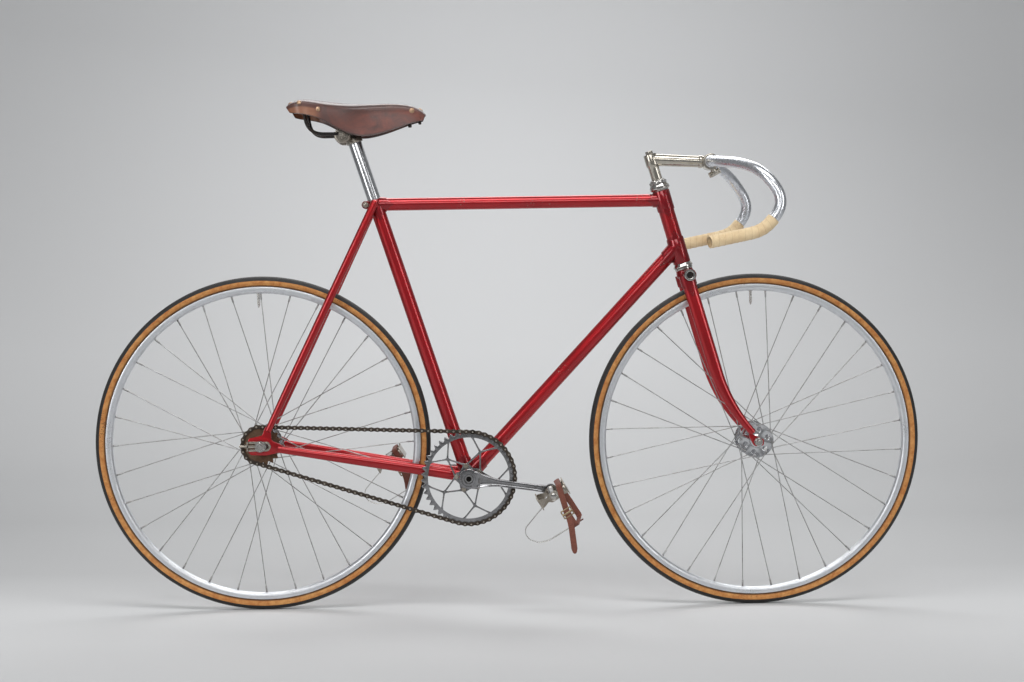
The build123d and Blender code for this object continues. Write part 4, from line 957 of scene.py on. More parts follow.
def bottom_bracket():
    """The shell with sockets for the tubes, and the cups screwed into it."""
    shell = rounded([(17, -34), (20, -34), (20, 34), (17, 34)], 1.2, 4)
    parts = [lathe(shell, BRACKET, LEFT, 72, wrap=True)]
    parts.append(lug(BRACKET, SEAT_UP, MAIN_R, 36, 46, flare=1.5))
    parts.append(lug(BRACKET, on_head(DOWN_JOINT) - BRACKET, MAIN_R, 40, 50, flare=1.5))
    piece("bracket_shell_round", parts, "frame", SHADED_LUG_RED, ["bottom_bracket_shell"])
    cups = []
    for side in (-1, 1):
        cup = [(9.6, 0), (18.3, 0), (18.5, 0.4), (18.5, 2.5), (18.1, 3.0), (9.6, 3.0)]
        cups.append(lathe(cup, BRACKET + LEFT * side * 34, LEFT * side, 48, wrap=True))
    piece("bracket_cup_rings", cups, "frame", SPOKE_STEEL, ["bracket_cups"])


def axle_parts(centre, axle, cone, washer, nut):
    """
    An axle with a cone, a washer and a hexagon nut at each end.

    axle is its radius at the ends, its radius and half its length. cone is the bore, the radius and where
    it starts and ends. washer is the width and depth of its bevel, the radius and both faces. nut is half
    its width and its height.
    """
    (tip, r, end), (bore, cone_r, cone_from, cone_to) = axle, cone
    (bevel, drop, washer_r, near, far), (half, tall) = washer, nut
    parts = [lathe([(tip, -end), (r, 1 - end), (r, end - 1), (tip, end)], centre, LEFT, 32)]
    for side in (-1, 1):
        out = LEFT * side
        parts.append(lathe([(bore, cone_from), (cone_r - 0.3, cone_from), (cone_r, cone_from + 0.5),
                            (cone_r, cone_to), (5, cone_to)], centre, out, 32))
        parts.append(lathe([(5, near), (washer_r - bevel, near), (washer_r, near + drop), (washer_r, far),
                            (5, far)], centre, out, 40))
        parts.append(hex_nut(centre + out * far, out, half, tall, r))
    return parts


def rear_axle():
    """Axle, cones, washers and hexagon nuts on both sides, and the chain adjusters."""
    parts = axle_parts(REAR, (4.2, 4.9, 76), (6, 8.9, 47, 55.9), (0.3, 0.5, 10.9, 64.5, 66.1), (8.2, 8.0))
    tugs = []
    for side in (-1, 1):
        out = LEFT * side
        outline = rounded([(-29, -2.6), (-9, -2.6), (-6, -9), (5, -10), (10.5, -4), (10.5, 4), (5, 10),
                           (-6, 9), (-9, 2.6), (-29, 2.6)], 4)
        low, high = sorted((side * 62.7, side * 64.4))
        tugs.append(plate(outline + [0, 337], low, high, 0.4))
        face = rounded([(-23.5, 5.4), (-23.5, 10), (16, 9.4), (22, 0), (16, -9.4), (-23.5, -10),
                        (-23.5, -5.4), (14, -5.4), (17, 0), (14, 5.4)], 3, 4)
        low, high = sorted((side * 61.9, side * 62.5))
        tugs.append(plate(face + [0, 337], low, high, 0.2))
        low, high = sorted((side * 55, side * 64.4))
        tugs.append(plate(np.array([(-27, -9), (-24.1, -9), (-24.1, 9), (-27, 9)]) + [0, 337], low, high,
                          0.4))
        middle = REAR + out * 59
        tugs.append(lathe([(2.1, 24.2), (2.1, 41.5), (1.6, 42)], middle, -AHEAD, 20))
        tugs.append(hex_nut(middle - AHEAD * 27.2, -AHEAD, 3.6, 4.0))
    piece("rear_axle_nuts", parts, "frame", CHROME, ["rear_axle"])
    piece("chain_tug_plates", tugs, "frame", NICKEL, ["chain_tugs"])


def headset():
    """Cups on the head tube, and the races, adjusting cup and locknut that turn with the fork."""
    cups = [lathe([(13.8, 1), (16.4, 0), (16.8, -1), (18.6, -3.5), (19.9, -5.5), (19.9, -7.6), (19.2, -8),
                   (13.8, -8)], on_head(HEAD_LOW), HEAD_UP, 64, wrap=True),
            lathe([(13.8, -1), (16.4, 0), (16.8, 1), (18.8, 2.6), (20.4, 4.6), (20.4, 6.6), (19.8, 7),
                   (13.8, 7)], on_head(HEAD_HIGH), HEAD_UP, 64, wrap=True)]
    piece("headset_cup_rings", cups, "frame", CHROME, ["headset_cups"])
    races = [lathe([(12.8, -13), (17.2, -13), (18.3, -12), (18.4, -10), (17.4, -8.6), (12.8, -8.4)],
                   on_head(HEAD_LOW), HEAD_UP, 64, wrap=True),
             lathe([(12.8, 7.4), (19.6, 7.4), (20.2, 8.2), (19.6, 10), (18.4, 11.5), (17.6, 13.9),
                    (12.8, 13.9)], on_head(HEAD_HIGH), HEAD_UP, 64, wrap=True),
             hex_nut(on_head(552.6), HEAD_UP, 15.4, 6.2), lathe([(15.2, 6.2), (15.0, 8.6), (13.0, 9.6)],
                                                                on_head(552.6), HEAD_UP, 48)]
    piece("headset_race_rings", races, "steering", CHROME, ["headset_races"])


# Fork and bars


def blade(side):
    """A fork blade: ovals on a straight line that then bends forward on a circle toward the axle."""
    up = np.concatenate([np.linspace(BLADE_TOP, BEND_FROM, 12), np.linspace(BEND_FROM - 5, 20, 30)])
    turn = np.arcsin(np.clip((BEND_FROM - up) / BEND_R, 0, 1))
    forward = -2.5 + BEND_R * (1 - np.cos(turn))
    y = side * (31.5 + (51 - 31.5) * (BLADE_TOP - up) / (BLADE_TOP - 20))
    centres = HEAD_FOOT + up[:, None] * HEAD_UP + forward[:, None] * HEAD_OUT + y[:, None] * LEFT
    ahead = np.cos(turn)[:, None] * HEAD_OUT + np.sin(turn)[:, None] * HEAD_UP
    depth = np.interp(-up, [-BLADE_TOP, -BEND_FROM, -95, -20], [28, 26, 21, 14])
    width = np.interp(-up, [-BLADE_TOP, -BEND_FROM, -95, -20], [17.5, 16, 14.5, 12])
    return ovals(centres, ahead, depth, like(LEFT, centres), width)


def crown():
    """A round-shouldered crown: a crossbar of ovals, a neck, and pointed sockets over the blades."""
    y = np.linspace(-42.3, 42.3, 41)
    fat = np.interp(np.abs(y), [0, 14, 30, 42.3], [31, 28, 27, 26])
    centres = on_head(CROWN_HEIGHT, 3) + y[:, None] * LEFT
    bar = ovals(centres, like(HEAD_OUT, centres), fat, like(HEAD_UP, centres), fat * 0.96)
    neck = lathe([(13, -4), (18.5, 0), (18.0, 6), (17, 11), (17, 13.0), (12.7, 13.0), (12.7, 195)],
                 on_head(CROWN_HEIGHT), HEAD_UP, 56)
    parts = [bar, neck]
    for side in (-1, 1):
        t = turns(56)
        reach = 17 + 16 * np.clip(1 - np.abs(np.cos(t)) * 1.1, 0, 1) ** 1.5
        s = np.array([0, 0.3, 0.6, 0.85, 0.95, 1.0, 1.0])
        wall = np.array([1.7, 1.7, 1.7, 1.7, 1.6, 1.0, -0.4])
        centre = on_head(362, -2.5, side * 31.2)
        down = -HEAD_UP + LEFT * side * 0.059
        rings = []
        for share, thick in zip(s, wall):
            ring = circle(t, (14 + thick) * HEAD_OUT, (8.75 + thick) * LEFT)
            rings.append(centre + (reach * share)[:, None] * down * 1.35 + ring)
        parts.append(grid(np.array(rings)))
    return parts


def tips():
    """Fork tips: flat plates with a slot open downward."""
    corners = [(24, 24), (36, 12), (49, 1), (46, -9), (41.5, -11), (41.2, -2), (39, 2), (35, 2), (32.8, -2),
               (32.0, -9), (26, -5), (22, 14)]
    outline = np.array([(HEAD_FOOT + HEAD_OUT * f + HEAD_UP * u)[[0, 2]] for f, u in corners])
    outline = rounded(outline, 2.5, 4)
    return [plate(outline, *sorted((side * 48, side * 54)), 0.7) for side in (-1, 1)]


def make_fork():
    """Crown, blades, tips, crown caps with painted shade in their middles, and the front axle."""
    piece("fork_crown_cast", crown(), "steering", SHADED_LUG_RED, ["fork_crown"])
    for side, name in ((1, "left"), (-1, "right")):
        piece("fork_blade_oval_" + name, [blade(side)], "steering", RED, ["fork_blade_" + name])
    piece("fork_tip_plates", tips(), "steering", RED, ["fork_tips"])
    caps, socket_shades = [], []
    for side in (-1, 1):
        middle = on_head(CROWN_HEIGHT, 3, side * 42.5)
        shape = [(6.6, 0.4), (10.9, 0), (11.4, 0.6), (11.4, 1.8), (10.4, 2.8), (8.6, 3.0), (7.2, 2.6),
                 (6.6, 1.8)]
        caps.append(lathe(shape, middle, LEFT * side, 56, wrap=True))
        # Painted shade: a near-black shallow dish in each cap's middle, standing in for the shade in its
        # socket.
        socket_shades.append(lathe([(6.5, 0.2), (6.5, 0.9), (4.2, 1.2), (3.4, 1.0), (3.2, 0.5), (0.4, 0.45)],
                           middle, LEFT * side, 40))
    piece("crown_cap_rings", caps, "steering", CHROME, ["crown_caps"])
    piece("crown_cap_socket_shades", socket_shades, "steering", BLACK_STEEL)
    parts = axle_parts(FRONT, (3.8, 4.4, 66), (5, 7.9, 40, 47.9), (0.1, 0.4, 8.5, 54, 55.4), (7.3, 6.5))
    piece("front_axle_nuts", parts, "steering", CHROME, ["front_axle"])


def make_stem():
    """Quill, expander bolt, tapering extension, bar clamp and its binder bolt."""
    high, clamp = on_head(604), BAR_CLAMP
    run = clamp - high
    s = np.linspace(0, 1, 24)
    extension = tube(high + s[:, None] * run, np.interp(s, [0, 1], [12.4, 11.3]), 48)
    quill = lathe([(11.1, 558.5), (11.1, 586), (11.6, 589), (12.9, 592), (13.1, 594), (13.1, 613),
                   (12.4, 614.8), (9, 615)], HEAD_FOOT, HEAD_UP, 56)
    shape = rounded([(11.4, -17), (16.5, -17), (16.5, 17), (11.4, 17)], 1.6, 4)
    parts = [extension, quill, lathe(shape, clamp, LEFT, 56, wrap=True),
             hex_nut(on_head(615), HEAD_UP, 6.6, 6.6)]
    along = unit(run)
    parts.append(lathe([(11.5, -24), (13.0, -22), (13.0, -17), (12.4, -15.5), (11, -15)], clamp, along, 56))
    ear = clamp + np.array([10.0, 0, -22.0])
    bolt = unit(np.array([25.0, 0, 13.5]))
    parts.append(straight(clamp, ear, 6.4, 5.6, sides=32))
    parts.append(lathe([(5.2, -8.5), (5.9, -8), (5.9, 6.5), (5.2, 7)], ear, bolt, 32))
    parts.append(hex_nut(ear + bolt * 7.0, bolt, 4.8, 5.0))
    parts.append(lathe([(4.4, 0), (5.6, 0.5), (5.6, 3.2), (4.2, 4.6), (1.0, 5.0)], ear - bolt * 8.5, -bolt,
                       28))
    piece("stem_cast", parts, "steering", STEM_NICKEL, ["stem"])


BAR_POINTS = [(905, 45, 900), (943, 113, 892), (983, 184, 873), (1024, 195, 810), (979, 195, 757),
              (872, 195, 735)]
BAR_BENDS = [60, 60, 79, 40, 32]
GRIP_STEPS = 47


def eased(path, step=3.0, window=11):
    """A path resampled evenly and replaced by its running mean, so that its bends flow into each other."""
    length = lengths(path)
    run = np.linspace(0, length[-1], int(length[-1] / step))
    even = walked(path, run)
    near, far = even[:1] * 2 - even[window:0:-1], even[-1:] * 2 - even[-2:-window - 2:-1]
    long = np.concatenate([near, even, far])
    kernel = np.hanning(2 * window + 3)[1:-1]
    return np.stack([np.convolve(long[:, k], kernel / kernel.sum(), "valid") for k in range(3)], 1)


def bar_path():
    """The bar's centre line from the right end to the left."""
    points = [np.array(p, float) for p in BAR_POINTS]
    other = [p * [1, -1, 1] for p in points[::-1]]
    return eased(arcs(other + points, BAR_BENDS[::-1] + BAR_BENDS, 4))


def bar_grip(side):
    """Cloth wound round the open end and the bend above it: a tube whose radius steps with each lap,
    r = grip + 0.5 (1 - lap)^2, the lap being the fraction of (length / step + angle / turn)."""
    path = bar_path()[:GRIP_STEPS] * [1, -side, 1]
    length = lengths(path)
    rings, sides = 300, 40
    run = np.linspace(0, length[-1], rings)
    spot = walked(path, run)
    turn = np.linspace(0, 1, sides, endpoint=False)[None]
    lap = (run[:, None] / TAPE_STEP + turn) % 1.0
    bunch = 1.1 * np.exp(-((run[:, None] - length[-1] + 6) / 6.0) ** 2)
    ripple = 0.12 * np.sin(run[:, None] * 0.55 + 3 * np.sin(2 * np.pi * turn))
    wave = 0.6 + 0.4 * np.sin(2 * np.pi * turn + 1)
    bulge = np.clip(0.5 * (1 - lap) ** 2 + ripple, 0, 0.6) + bunch * wave
    made = tube(spot, GRIP_R, sides)
    points, place = made[0].reshape(rings, sides, 3), made[2].reshape(rings, sides, 3)
    outward = (points - spot[:, None]) / GRIP_R
    points = points + outward * np.clip(bulge, 0, 0.6)[..., None]
    slant = np.clip(side * outward[..., 1] + 1, 0, 2) * 3.2 * np.exp(-run[:, None] / 9.0)
    way = unit(spot[1] - spot[0])
    points = points + slant[..., None] * way
    first = points[:1] - outward[:1] * 1.6
    last = spot[-1:, None] + outward[-1:] * 11.2
    return grid(np.concatenate([first, points, last]), capped=False,
                place=np.concatenate([place[:1], place, place[-1:]]))


def make_bars():
    """The dropped bar as one tube, thicker at its middle, open at the ends, and the cloth on its drops."""
    path = bar_path()[3:-3]
    shell = tube(path, BAR_R, 40, capped=False)
    bore = tube(path, BAR_BORE, 40, capped=False)
    bore = (bore[0], [block[:, ::-1] for block in bore[1]], bore[2])
    rims = []
    for end, way in ((path[0], path[0] - path[1]), (path[-1], path[-1] - path[-2])):
        rims.append(lathe([(BAR_BORE, -0.4), (9.8, 0), (11.0, 0), (BAR_R, -0.4)], end, way, 40, wrap=True))
    centre = lathe(rounded([(10.6, -27), (12.4, -23), (12.4, 23), (10.6, 27)], 2, 4), BAR_CLAMP, LEFT, 40,
                   wrap=True)
    piece("handlebar_tube", [shell, bore, centre] + rims, "steering", BAR_ALLOY, ["handlebar"])
    piece("bar_tape_wound", [bar_grip(1), bar_grip(-1)], "steering", CLOTH, ["bar_tape"], 60)


# Saddle and seat post


SADDLE = np.array([(56, 1012, 1006, 60, 996, 61), (70, 1022, 1011, 70, 993.5, 71),
                   (84, 1026, 1013, 76, 993, 77), (104, 1026, 1011.5, 74, 990, 76),
                   (125, 1023, 1007, 66, 984, 69), (146, 1021, 1003.5, 54, 973, 60),
                   (168, 1019, 1001, 43, 960, 51), (188, 1018, 1000.5, 34.5, 953, 44),
                   (208, 1018, 1001, 28, 951, 39), (231, 1018.5, 1002.5, 23.5, 954.5, 33),
                   (255, 1019, 1004, 21, 961, 28), (280, 1018.5, 1004.5, 19, 970, 23.5),
                   (305, 1015, 1003, 18, 979, 20), (320, 1009, 999.5, 16.5, 982.5, 17.5),
                   (332, 1000, 994, 13, 984, 14)], float)


def saddle_rows(x):
    """Top, shoulder, half width, lower edge and its half width at distances along the saddle,
    each eased by a mean over seven places 4 apart."""
    near = [np.interp(x + shift, SADDLE[:, 0], SADDLE[:, k]) for k in range(1, 6)
            for shift in range(-12, 13, 4)]
    soft = np.mean(np.array(near).reshape(5, 7, *x.shape), axis=1)
    exact = np.array([np.interp(x, SADDLE[:, 0], SADDLE[:, k]) for k in range(1, 6)])
    ends = np.clip(np.minimum(x - SADDLE_REAR, SADDLE_NOSE - x) / 14.0, 0, 1)
    return exact * (1 - ends) + soft * ends


def saddle_surface(x, share, shrink=0.0):
    """Points of the leather at x along the saddle and share 0 to 1 over it from the right edge to the left:
    flanks y = low half + (half - low half) t^1.5 and an arch (half cos a, rise sin^0.82 a), the rear edge
    and the nose rounded by pulling the sides in along x."""
    top, shoulder, half, low, low_half = saddle_rows(x)
    side = np.abs(share - 0.5) * 2
    t = np.clip((1 - side) / 0.36, 0, 1)
    arch = np.clip((side - 0.64) / 0.36, 0, 1)
    angle = np.clip(side / 0.64, 0, 1)
    flank = half + (low_half - half) * arch ** 1.5
    wide = np.where(side > 0.64, flank, half * np.sin(angle * np.pi / 2)) - shrink * side
    rise = (top - shoulder - shrink) * np.cos(angle * np.pi / 2) ** 0.82
    height = np.where(side > 0.64, low + (shoulder - low) * t, shoulder + rise)
    roll = np.exp(-((x - SADDLE_REAR) / 7.0) ** 2) * 2.0 + np.exp(-((SADDLE_NOSE - x) / 8.0) ** 2) * 3.0
    height = height - roll * (1 - side) * (top > low + 6)
    pull = 9.0 * np.exp(-(x - SADDLE_REAR) / 22.0) - 6.0 * np.exp(-(SADDLE_NOSE - x) / 12.0)
    return np.stack([x + pull * side ** 2, np.sign(share - 0.5) * wide, height], -1)


def saddle_shell():
    """The leather as one C-shaped wall: an outer and an inner surface over a grid of distances and shares,
    closed along the edges and at both ends."""
    x = np.concatenate([56 + 10 * np.linspace(0, 1, 9)[:-1] ** 1.5, np.linspace(66, 318, 80),
                        332 - 14 * np.linspace(1, 0, 12)[1:] ** 1.3])
    share = np.linspace(0, 1, 73)
    across, along = np.meshgrid(share, x)
    outer, inner = saddle_surface(along, across), saddle_surface(along, across, 3.6)
    ring = np.concatenate([outer, inner[:, ::-1]], 1)
    top, low = ring[..., 2].max(axis=1), ring[..., 2].min(axis=1)
    place = np.zeros_like(ring)
    place[..., 0] = ((x - SADDLE_REAR) / (SADDLE_NOSE - SADDLE_REAR))[:, None]
    place[..., 1] = (ring[..., 2] - low[:, None]) / (top - low)[:, None]
    points, faces, place = grid(ring, capped=False, place=place)
    j = np.arange(len(share) - 1)
    cap = np.stack([j, j + 1, 2 * len(share) - 2 - j, 2 * len(share) - 1 - j], 1)
    last = (len(x) - 1) * 2 * len(share)
    facing = 1 if np.dot(np.cross(points[cap[30, 1]] - points[cap[30, 0]],
                                  points[cap[30, 3]] - points[cap[30, 0]]), AHEAD) < 0 else -1
    return points, faces + [cap[:, ::facing], (cap + last)[:, ::-facing]], place


def rivets():
    """Domed copper rivets, each set on the leather along its own normal: distance, share and radius."""
    parts = []
    for x, share, size in ((84, 0.22, 5.0), (122, 0.14, 5.0), (64, 0.36, 5.0), (305, 0.19, 5.4),
                           (322, 0.5, 5.2)):
        for way in (1, -1):
            at = saddle_surface(np.array([x]), np.array([0.5 + way * (share - 0.5)]))[0]
            ahead = saddle_surface(np.array([x + 2.0]), np.array([0.5 + way * (share - 0.5)]))[0]
            beside = saddle_surface(np.array([x]), np.array([0.51 + way * (share - 0.5)]))[0]
            normal = unit(np.cross(ahead - at, beside - at))
            shape = [(size, -2.0), (size, 0.2), (size * 0.85, 1.1), (size * 0.5, 1.9), (0.5, 2.2)]
            parts.append(lathe(shape, at, normal, 28))
            if share == 0.5:
                break
    return parts


def serrated_disc(centre, out):
    """A disc with a toothed rim, stepped down in rings toward its nut: its radius gains and loses 0.6
    with every second column."""
    profile = np.array([(8, 26), (15.6, 26.2), (16.0, 27), (16.0, 30.4), (15.0, 31.6), (12.8, 32.2),
                        (12.4, 31.2), (10.6, 31.2), (10.2, 32.8), (8, 33.0)])
    teeth = np.zeros((len(profile), 1))
    teeth[1:5] = 0.6
    along, a, b = basis(out)
    t = turns(128)
    r = profile[:, :1] + teeth * np.where(np.arange(128) % 4 < 2, 1, -1)[None]
    ring = circle(t, a, b)
    return grid(centre + profile[:, 1][:, None, None] * along + r[..., None] * ring[None])


def saddle_clamp(at):
    """Cross bolt, toothed discs, jaws under the rails, nuts, and the band on the post."""
    parts = [lathe([(3.6, -44), (4, -43.4), (4, 43.4), (3.6, 44)], at, LEFT, 24)]
    for side in (-1, 1):
        out = LEFT * side
        parts.append(serrated_disc(at, out))
        parts.append(hex_nut(at + out * 33, out, 6.6, 6.5, 3.8))
        parts.append(lathe([(3.9, 39.4), (3.7, 42.0), (2.8, 43.6), (0.6, 44)], at, out, 20))
        jaw = rounded([(155, 946), (176, 946), (180, 951), (180, 959), (155, 962)], 5)
        low, high = sorted((side * 9, side * 26))
        parts.append(plate(jaw, low, high, 1.4))
    band = [(13.2, 708.5), (16.2, 708.5), (16.7, 709.2), (16.7, 726.6), (16.2, 727.4), (13.2, 727.4)]
    parts.append(lathe(band, BRACKET, SEAT_UP, 56, wrap=True))
    return parts


def saddle_rails():
    """Two bent wires from the plate across the rear to the bolt in the nose."""
    points = [np.array(p, float) for p in ((92, 53, 1003), (99, 45, 955), (205, 21, 958), (318, 8, 988))]
    rail = eased(arcs(points, [30, 70], 4), 3.0, 6)
    parts = [tube(rail * [1, side, 1], 3.4, 20) for side in (1, -1)]
    parts.append(lathe([(4.2, -12), (4.5, -11.5), (4.5, 11.5), (4.2, 12)], np.array([316, 0, 987.5]), LEFT,
                       24))
    parts.append(hex_nut(np.array([316.0, 12, 987.5]), LEFT, 5.4, 4.0))
    parts.append(hex_nut(np.array([316.0, -12, 987.5]), -LEFT, 5.4, 4.0))
    for x, z, size in ((300, 980, 3.6), (320, 986, 3.0)):
        parts.append(lathe(round_end(size, 9, 1.2), np.array([x, 0.0, z]), -UP, 20))
    t = np.linspace(-1, 1, 41)
    across = np.stack([90 - 12 * (1 - t ** 2), t * 56, 1003 + 0 * t], 1)
    flat = np.ones_like(t)
    parts.append(ovals(across, like(AHEAD, across), 9 * flat, like(UP, across), 4.4 * flat, 16))
    return parts


def make_saddle():
    """Leather top, rivets, rails, clamp and post."""
    piece("saddle_leather_top", [saddle_shell()], "frame", LEATHER, ["saddle_cover"], 50)
    piece("saddle_rivets", rivets(), "frame", COPPER)
    piece("saddle_rail_wires", saddle_rails(), "frame", BLACK_STEEL, ["saddle_rails"])
    piece("saddle_clamp_parts", saddle_clamp(np.array([166.0, 0, 954])), "frame", NICKEL, ["saddle_clamp"])
    post = lathe([(13.3, 519), (13.3, 726), (12.9, 728), (11.9, 729), (9, 729)], BRACKET, SEAT_UP, 56)
    piece("seat_post_round", [post], "frame", ALLOY, ["seat_post"])


# Drive


PITCH, RING_TEETH, SPROCKET_TEETH = 12.7, 46, 19
RING_R = PITCH / 2 / math.sin(math.pi / RING_TEETH)
SPROCKET_R = PITCH / 2 / math.sin(math.pi / SPROCKET_TEETH)


def tooth_edge(teeth, phase):
    """The outline of a toothed wheel: each tooth rises 7.2 (1 - share / 0.36)^0.7 over the root circle,
    share being the part of a pitch from its middle. Twelve points a tooth."""
    u = np.arange(teeth * 12) / 12
    share = np.abs((u + 0.5) % 1 - 0.5)
    height = 7.2 * np.clip(1 - share / 0.36, 0, 1) ** 0.7 - 4.2
    radius = PITCH / 2 / math.sin(math.pi / teeth) + height
    angle = math.radians(phase) + u * 2 * np.pi / teeth
    return radius, angle


def toothed_ring(centre, teeth, phase, bore):
    """A ring between a bore and the toothed edge, its faces chamfered toward the tips."""
    y, half, tip_half = -CHAIN_LINE, 1.5, 1.0
    radius, angle = tooth_edge(teeth, phase)
    root = radius.min() - 3.0
    rows = [(bore + 0 * radius, -half), (0 * radius + root, -half), (radius - 0.6, -tip_half - 0.2),
            (radius, -tip_half), (radius, tip_half), (radius - 0.6, tip_half + 0.2),
            (0 * radius + root, half), (bore + 0 * radius, half)]
    rings = [np.column_stack([centre[0] + r * np.cos(angle), np.full(len(r), y + h),
                              centre[2] + r * np.sin(angle)]) for r, h in rows]
    return grid(np.array(rings + rings[:1]), capped=False)


def spider_star(y):
    """The ring's middle: an outline r = 26 + 3.6 cos 5 (a - 30) in degrees, bored for the crank's boss."""
    a = turns(160)
    r = 26.0 + 3.6 * np.cos(5 * (a - math.radians(30)))
    bore = np.full(160, 15.6)
    rows = [(r - 0.5, -1.5), (r, -1.0), (r, 1.0), (r - 0.5, 1.5), (bore, 1.5), (bore, -1.5)]
    rings = [np.column_stack([BRACKET[0] + q * np.cos(a), np.full(160, y + h), BRACKET[2] + q * np.sin(a)])
             for q, h in rows]
    return grid(np.array(rings), wrap=True)


def chainring():
    """A toothed ring on five knots, each held by two struts from the middle and two to the ring."""
    y = -CHAIN_LINE
    parts = [toothed_ring(BRACKET, RING_TEETH, RING_PHASE, 81.6), spider_star(y)]
    for arm in range(5):
        angle = -6 + 72 * arm
        knot = polar(BRACKET, angle, 57)
        for side in (-1, 1):
            for turn, reach in ((19, 83), (32, 27.5)):
                end = polar(BRACKET, angle + side * turn, reach)
                run = (end - knot)[[0, 2]]
                length = np.linalg.norm(run)
                s = np.linspace(0, 1, 11)
                width = 1.55 + 1.5 * (2 * np.abs(s - 0.5)) ** 5
                way = run / length
                across = np.array([-way[1], way[0]])
                line = knot[[0, 2]] + s[:, None] * run
                outline = np.concatenate([line + across * width[:, None],
                                          (line - across * width[:, None])[::-1]])
                parts.append(plate(outline, y - 1.45, y + 1.45, 0.45))
        parts.append(lathe([(0.3, -1.5), (2.9, -1.5), (3.3, -1.1), (3.3, 1.1), (2.9, 1.5), (0.3, 1.5)],
                           knot + LEFT * y, LEFT, 28))
    bolts = []
    for k in range(5):
        at = polar(BRACKET, 30 + 72 * k, 24.8, y - 1.5)
        bolts.append(hex_nut(at, -LEFT, 4.0, 3.4))
        bolts.append(lathe([(4.9, -0.2), (4.9, 0.5), (4.6, 0.8), (3.4, 0.8)], at, -LEFT, 24))
    return parts, bolts


def sprocket():
    """The rear sprocket with its threaded collar."""
    y = -CHAIN_LINE
    parts = [toothed_ring(REAR, SPROCKET_TEETH, 0, 13.2)]
    parts.append(lathe(rounded([(13.3, -1.9), (21.6, -1.9), (21.9, 3.9), (13.3, 3.9)], 0.5, 3),
                       REAR + LEFT * y, LEFT, 48, wrap=True))
    return parts


def chain_pins():
    """Every pin's place: on the two pitch circles at equal chords, and evenly on the straight runs."""
    span = np.linalg.norm(BRACKET - REAR)
    tilt = math.atan2(BRACKET[2] - REAR[2], BRACKET[0] - REAR[0])
    lean = math.acos((SPROCKET_R - RING_R) / span)
    step, small_step = 2 * math.pi / RING_TEETH, 2 * math.pi / SPROCKET_TEETH
    valley, small_valley = math.radians(RING_PHASE) + step / 2, small_step / 2
    first = valley + step * math.floor((tilt + lean - valley) / step)
    ring_angles = first - step * np.arange(int((first - (tilt - lean)) / step) + 1)
    small_first = small_valley + small_step * math.floor((tilt - lean - small_valley) / small_step)
    small_count = int((small_first - (tilt + lean - 2 * math.pi)) / small_step) + 1
    small_angles = small_first - small_step * np.arange(small_count)
    ring = np.stack([BRACKET[0] + RING_R * np.cos(ring_angles), BRACKET[2] + RING_R * np.sin(ring_angles)], 1)
    small = np.stack([REAR[0] + SPROCKET_R * np.cos(small_angles),
                      REAR[2] + SPROCKET_R * np.sin(small_angles)], 1)

    def run(a, b):
        pieces = max(1, round(np.linalg.norm(b - a) / PITCH))
        return a + (b - a) * (np.arange(1, pieces) / pieces)[:, None]

    return np.concatenate([ring, run(ring[-1], small[0]), small, run(small[-1], ring[0])])


def link_outline(long, radius, waist):
    """A link plate: two round ends joined by a waist, r(t) drawn in x and z."""
    t = np.linspace(-np.pi * 0.62, np.pi * 0.62, 8)
    right = np.stack([long / 2 + radius * np.cos(t), radius * np.sin(t)], 1)
    leftward = -right
    middle_top, middle_low = np.array([[0, waist]]), np.array([[0, -waist]])
    return np.concatenate([right, middle_top, leftward, middle_low])


def chain_links():
    """Plates and rollers for each link, inner and outer plates taking turns, and the pins by themselves."""
    pins = chain_pins()
    after = np.roll(pins, -1, axis=0)
    run = after - pins
    angle = np.arctan2(run[:, 1], run[:, 0])
    middle = (pins + after) / 2
    parts = []
    for odd, distance, thick in ((0, 2.45, 0.8), (1, 3.45, 0.8)):
        shape = link_outline(PITCH, 4.35, 2.7)
        chosen = np.arange(len(pins)) % 2 == odd
        for side in (-1, 1):
            low = -CHAIN_LINE + side * distance - thick / 2
            base = plate(shape, low, low + thick, 0.18)
            x, y, z = base[0].T
            c, s = np.cos(angle[chosen])[:, None], np.sin(angle[chosen])[:, None]
            x = x * (np.linalg.norm(run[chosen], axis=1)[:, None] / PITCH)
            centre_x, centre_z = middle[chosen].T[:, :, None]
            moved = np.stack(np.broadcast_arrays(centre_x + x * c - z * s, y, centre_z + x * s + z * c), 2)
            parts.append(copies(base, moved))
    at = np.column_stack([pins[:, 0], np.full(len(pins), -CHAIN_LINE), pins[:, 1]])
    roller = lathe([(3.9, -1.95), (3.9, 1.95)], np.zeros(3), UP, 14)
    pin = lathe([(0.8, -4.35), (1.9, -4.15), (2.0, -3.8), (2.0, 3.8), (1.9, 4.15), (0.8, 4.35)],
                np.zeros(3), UP, 10)
    ways = like(LEFT, at)
    parts.append(many(roller, at, ways))
    return parts, [many(pin, at, ways)]


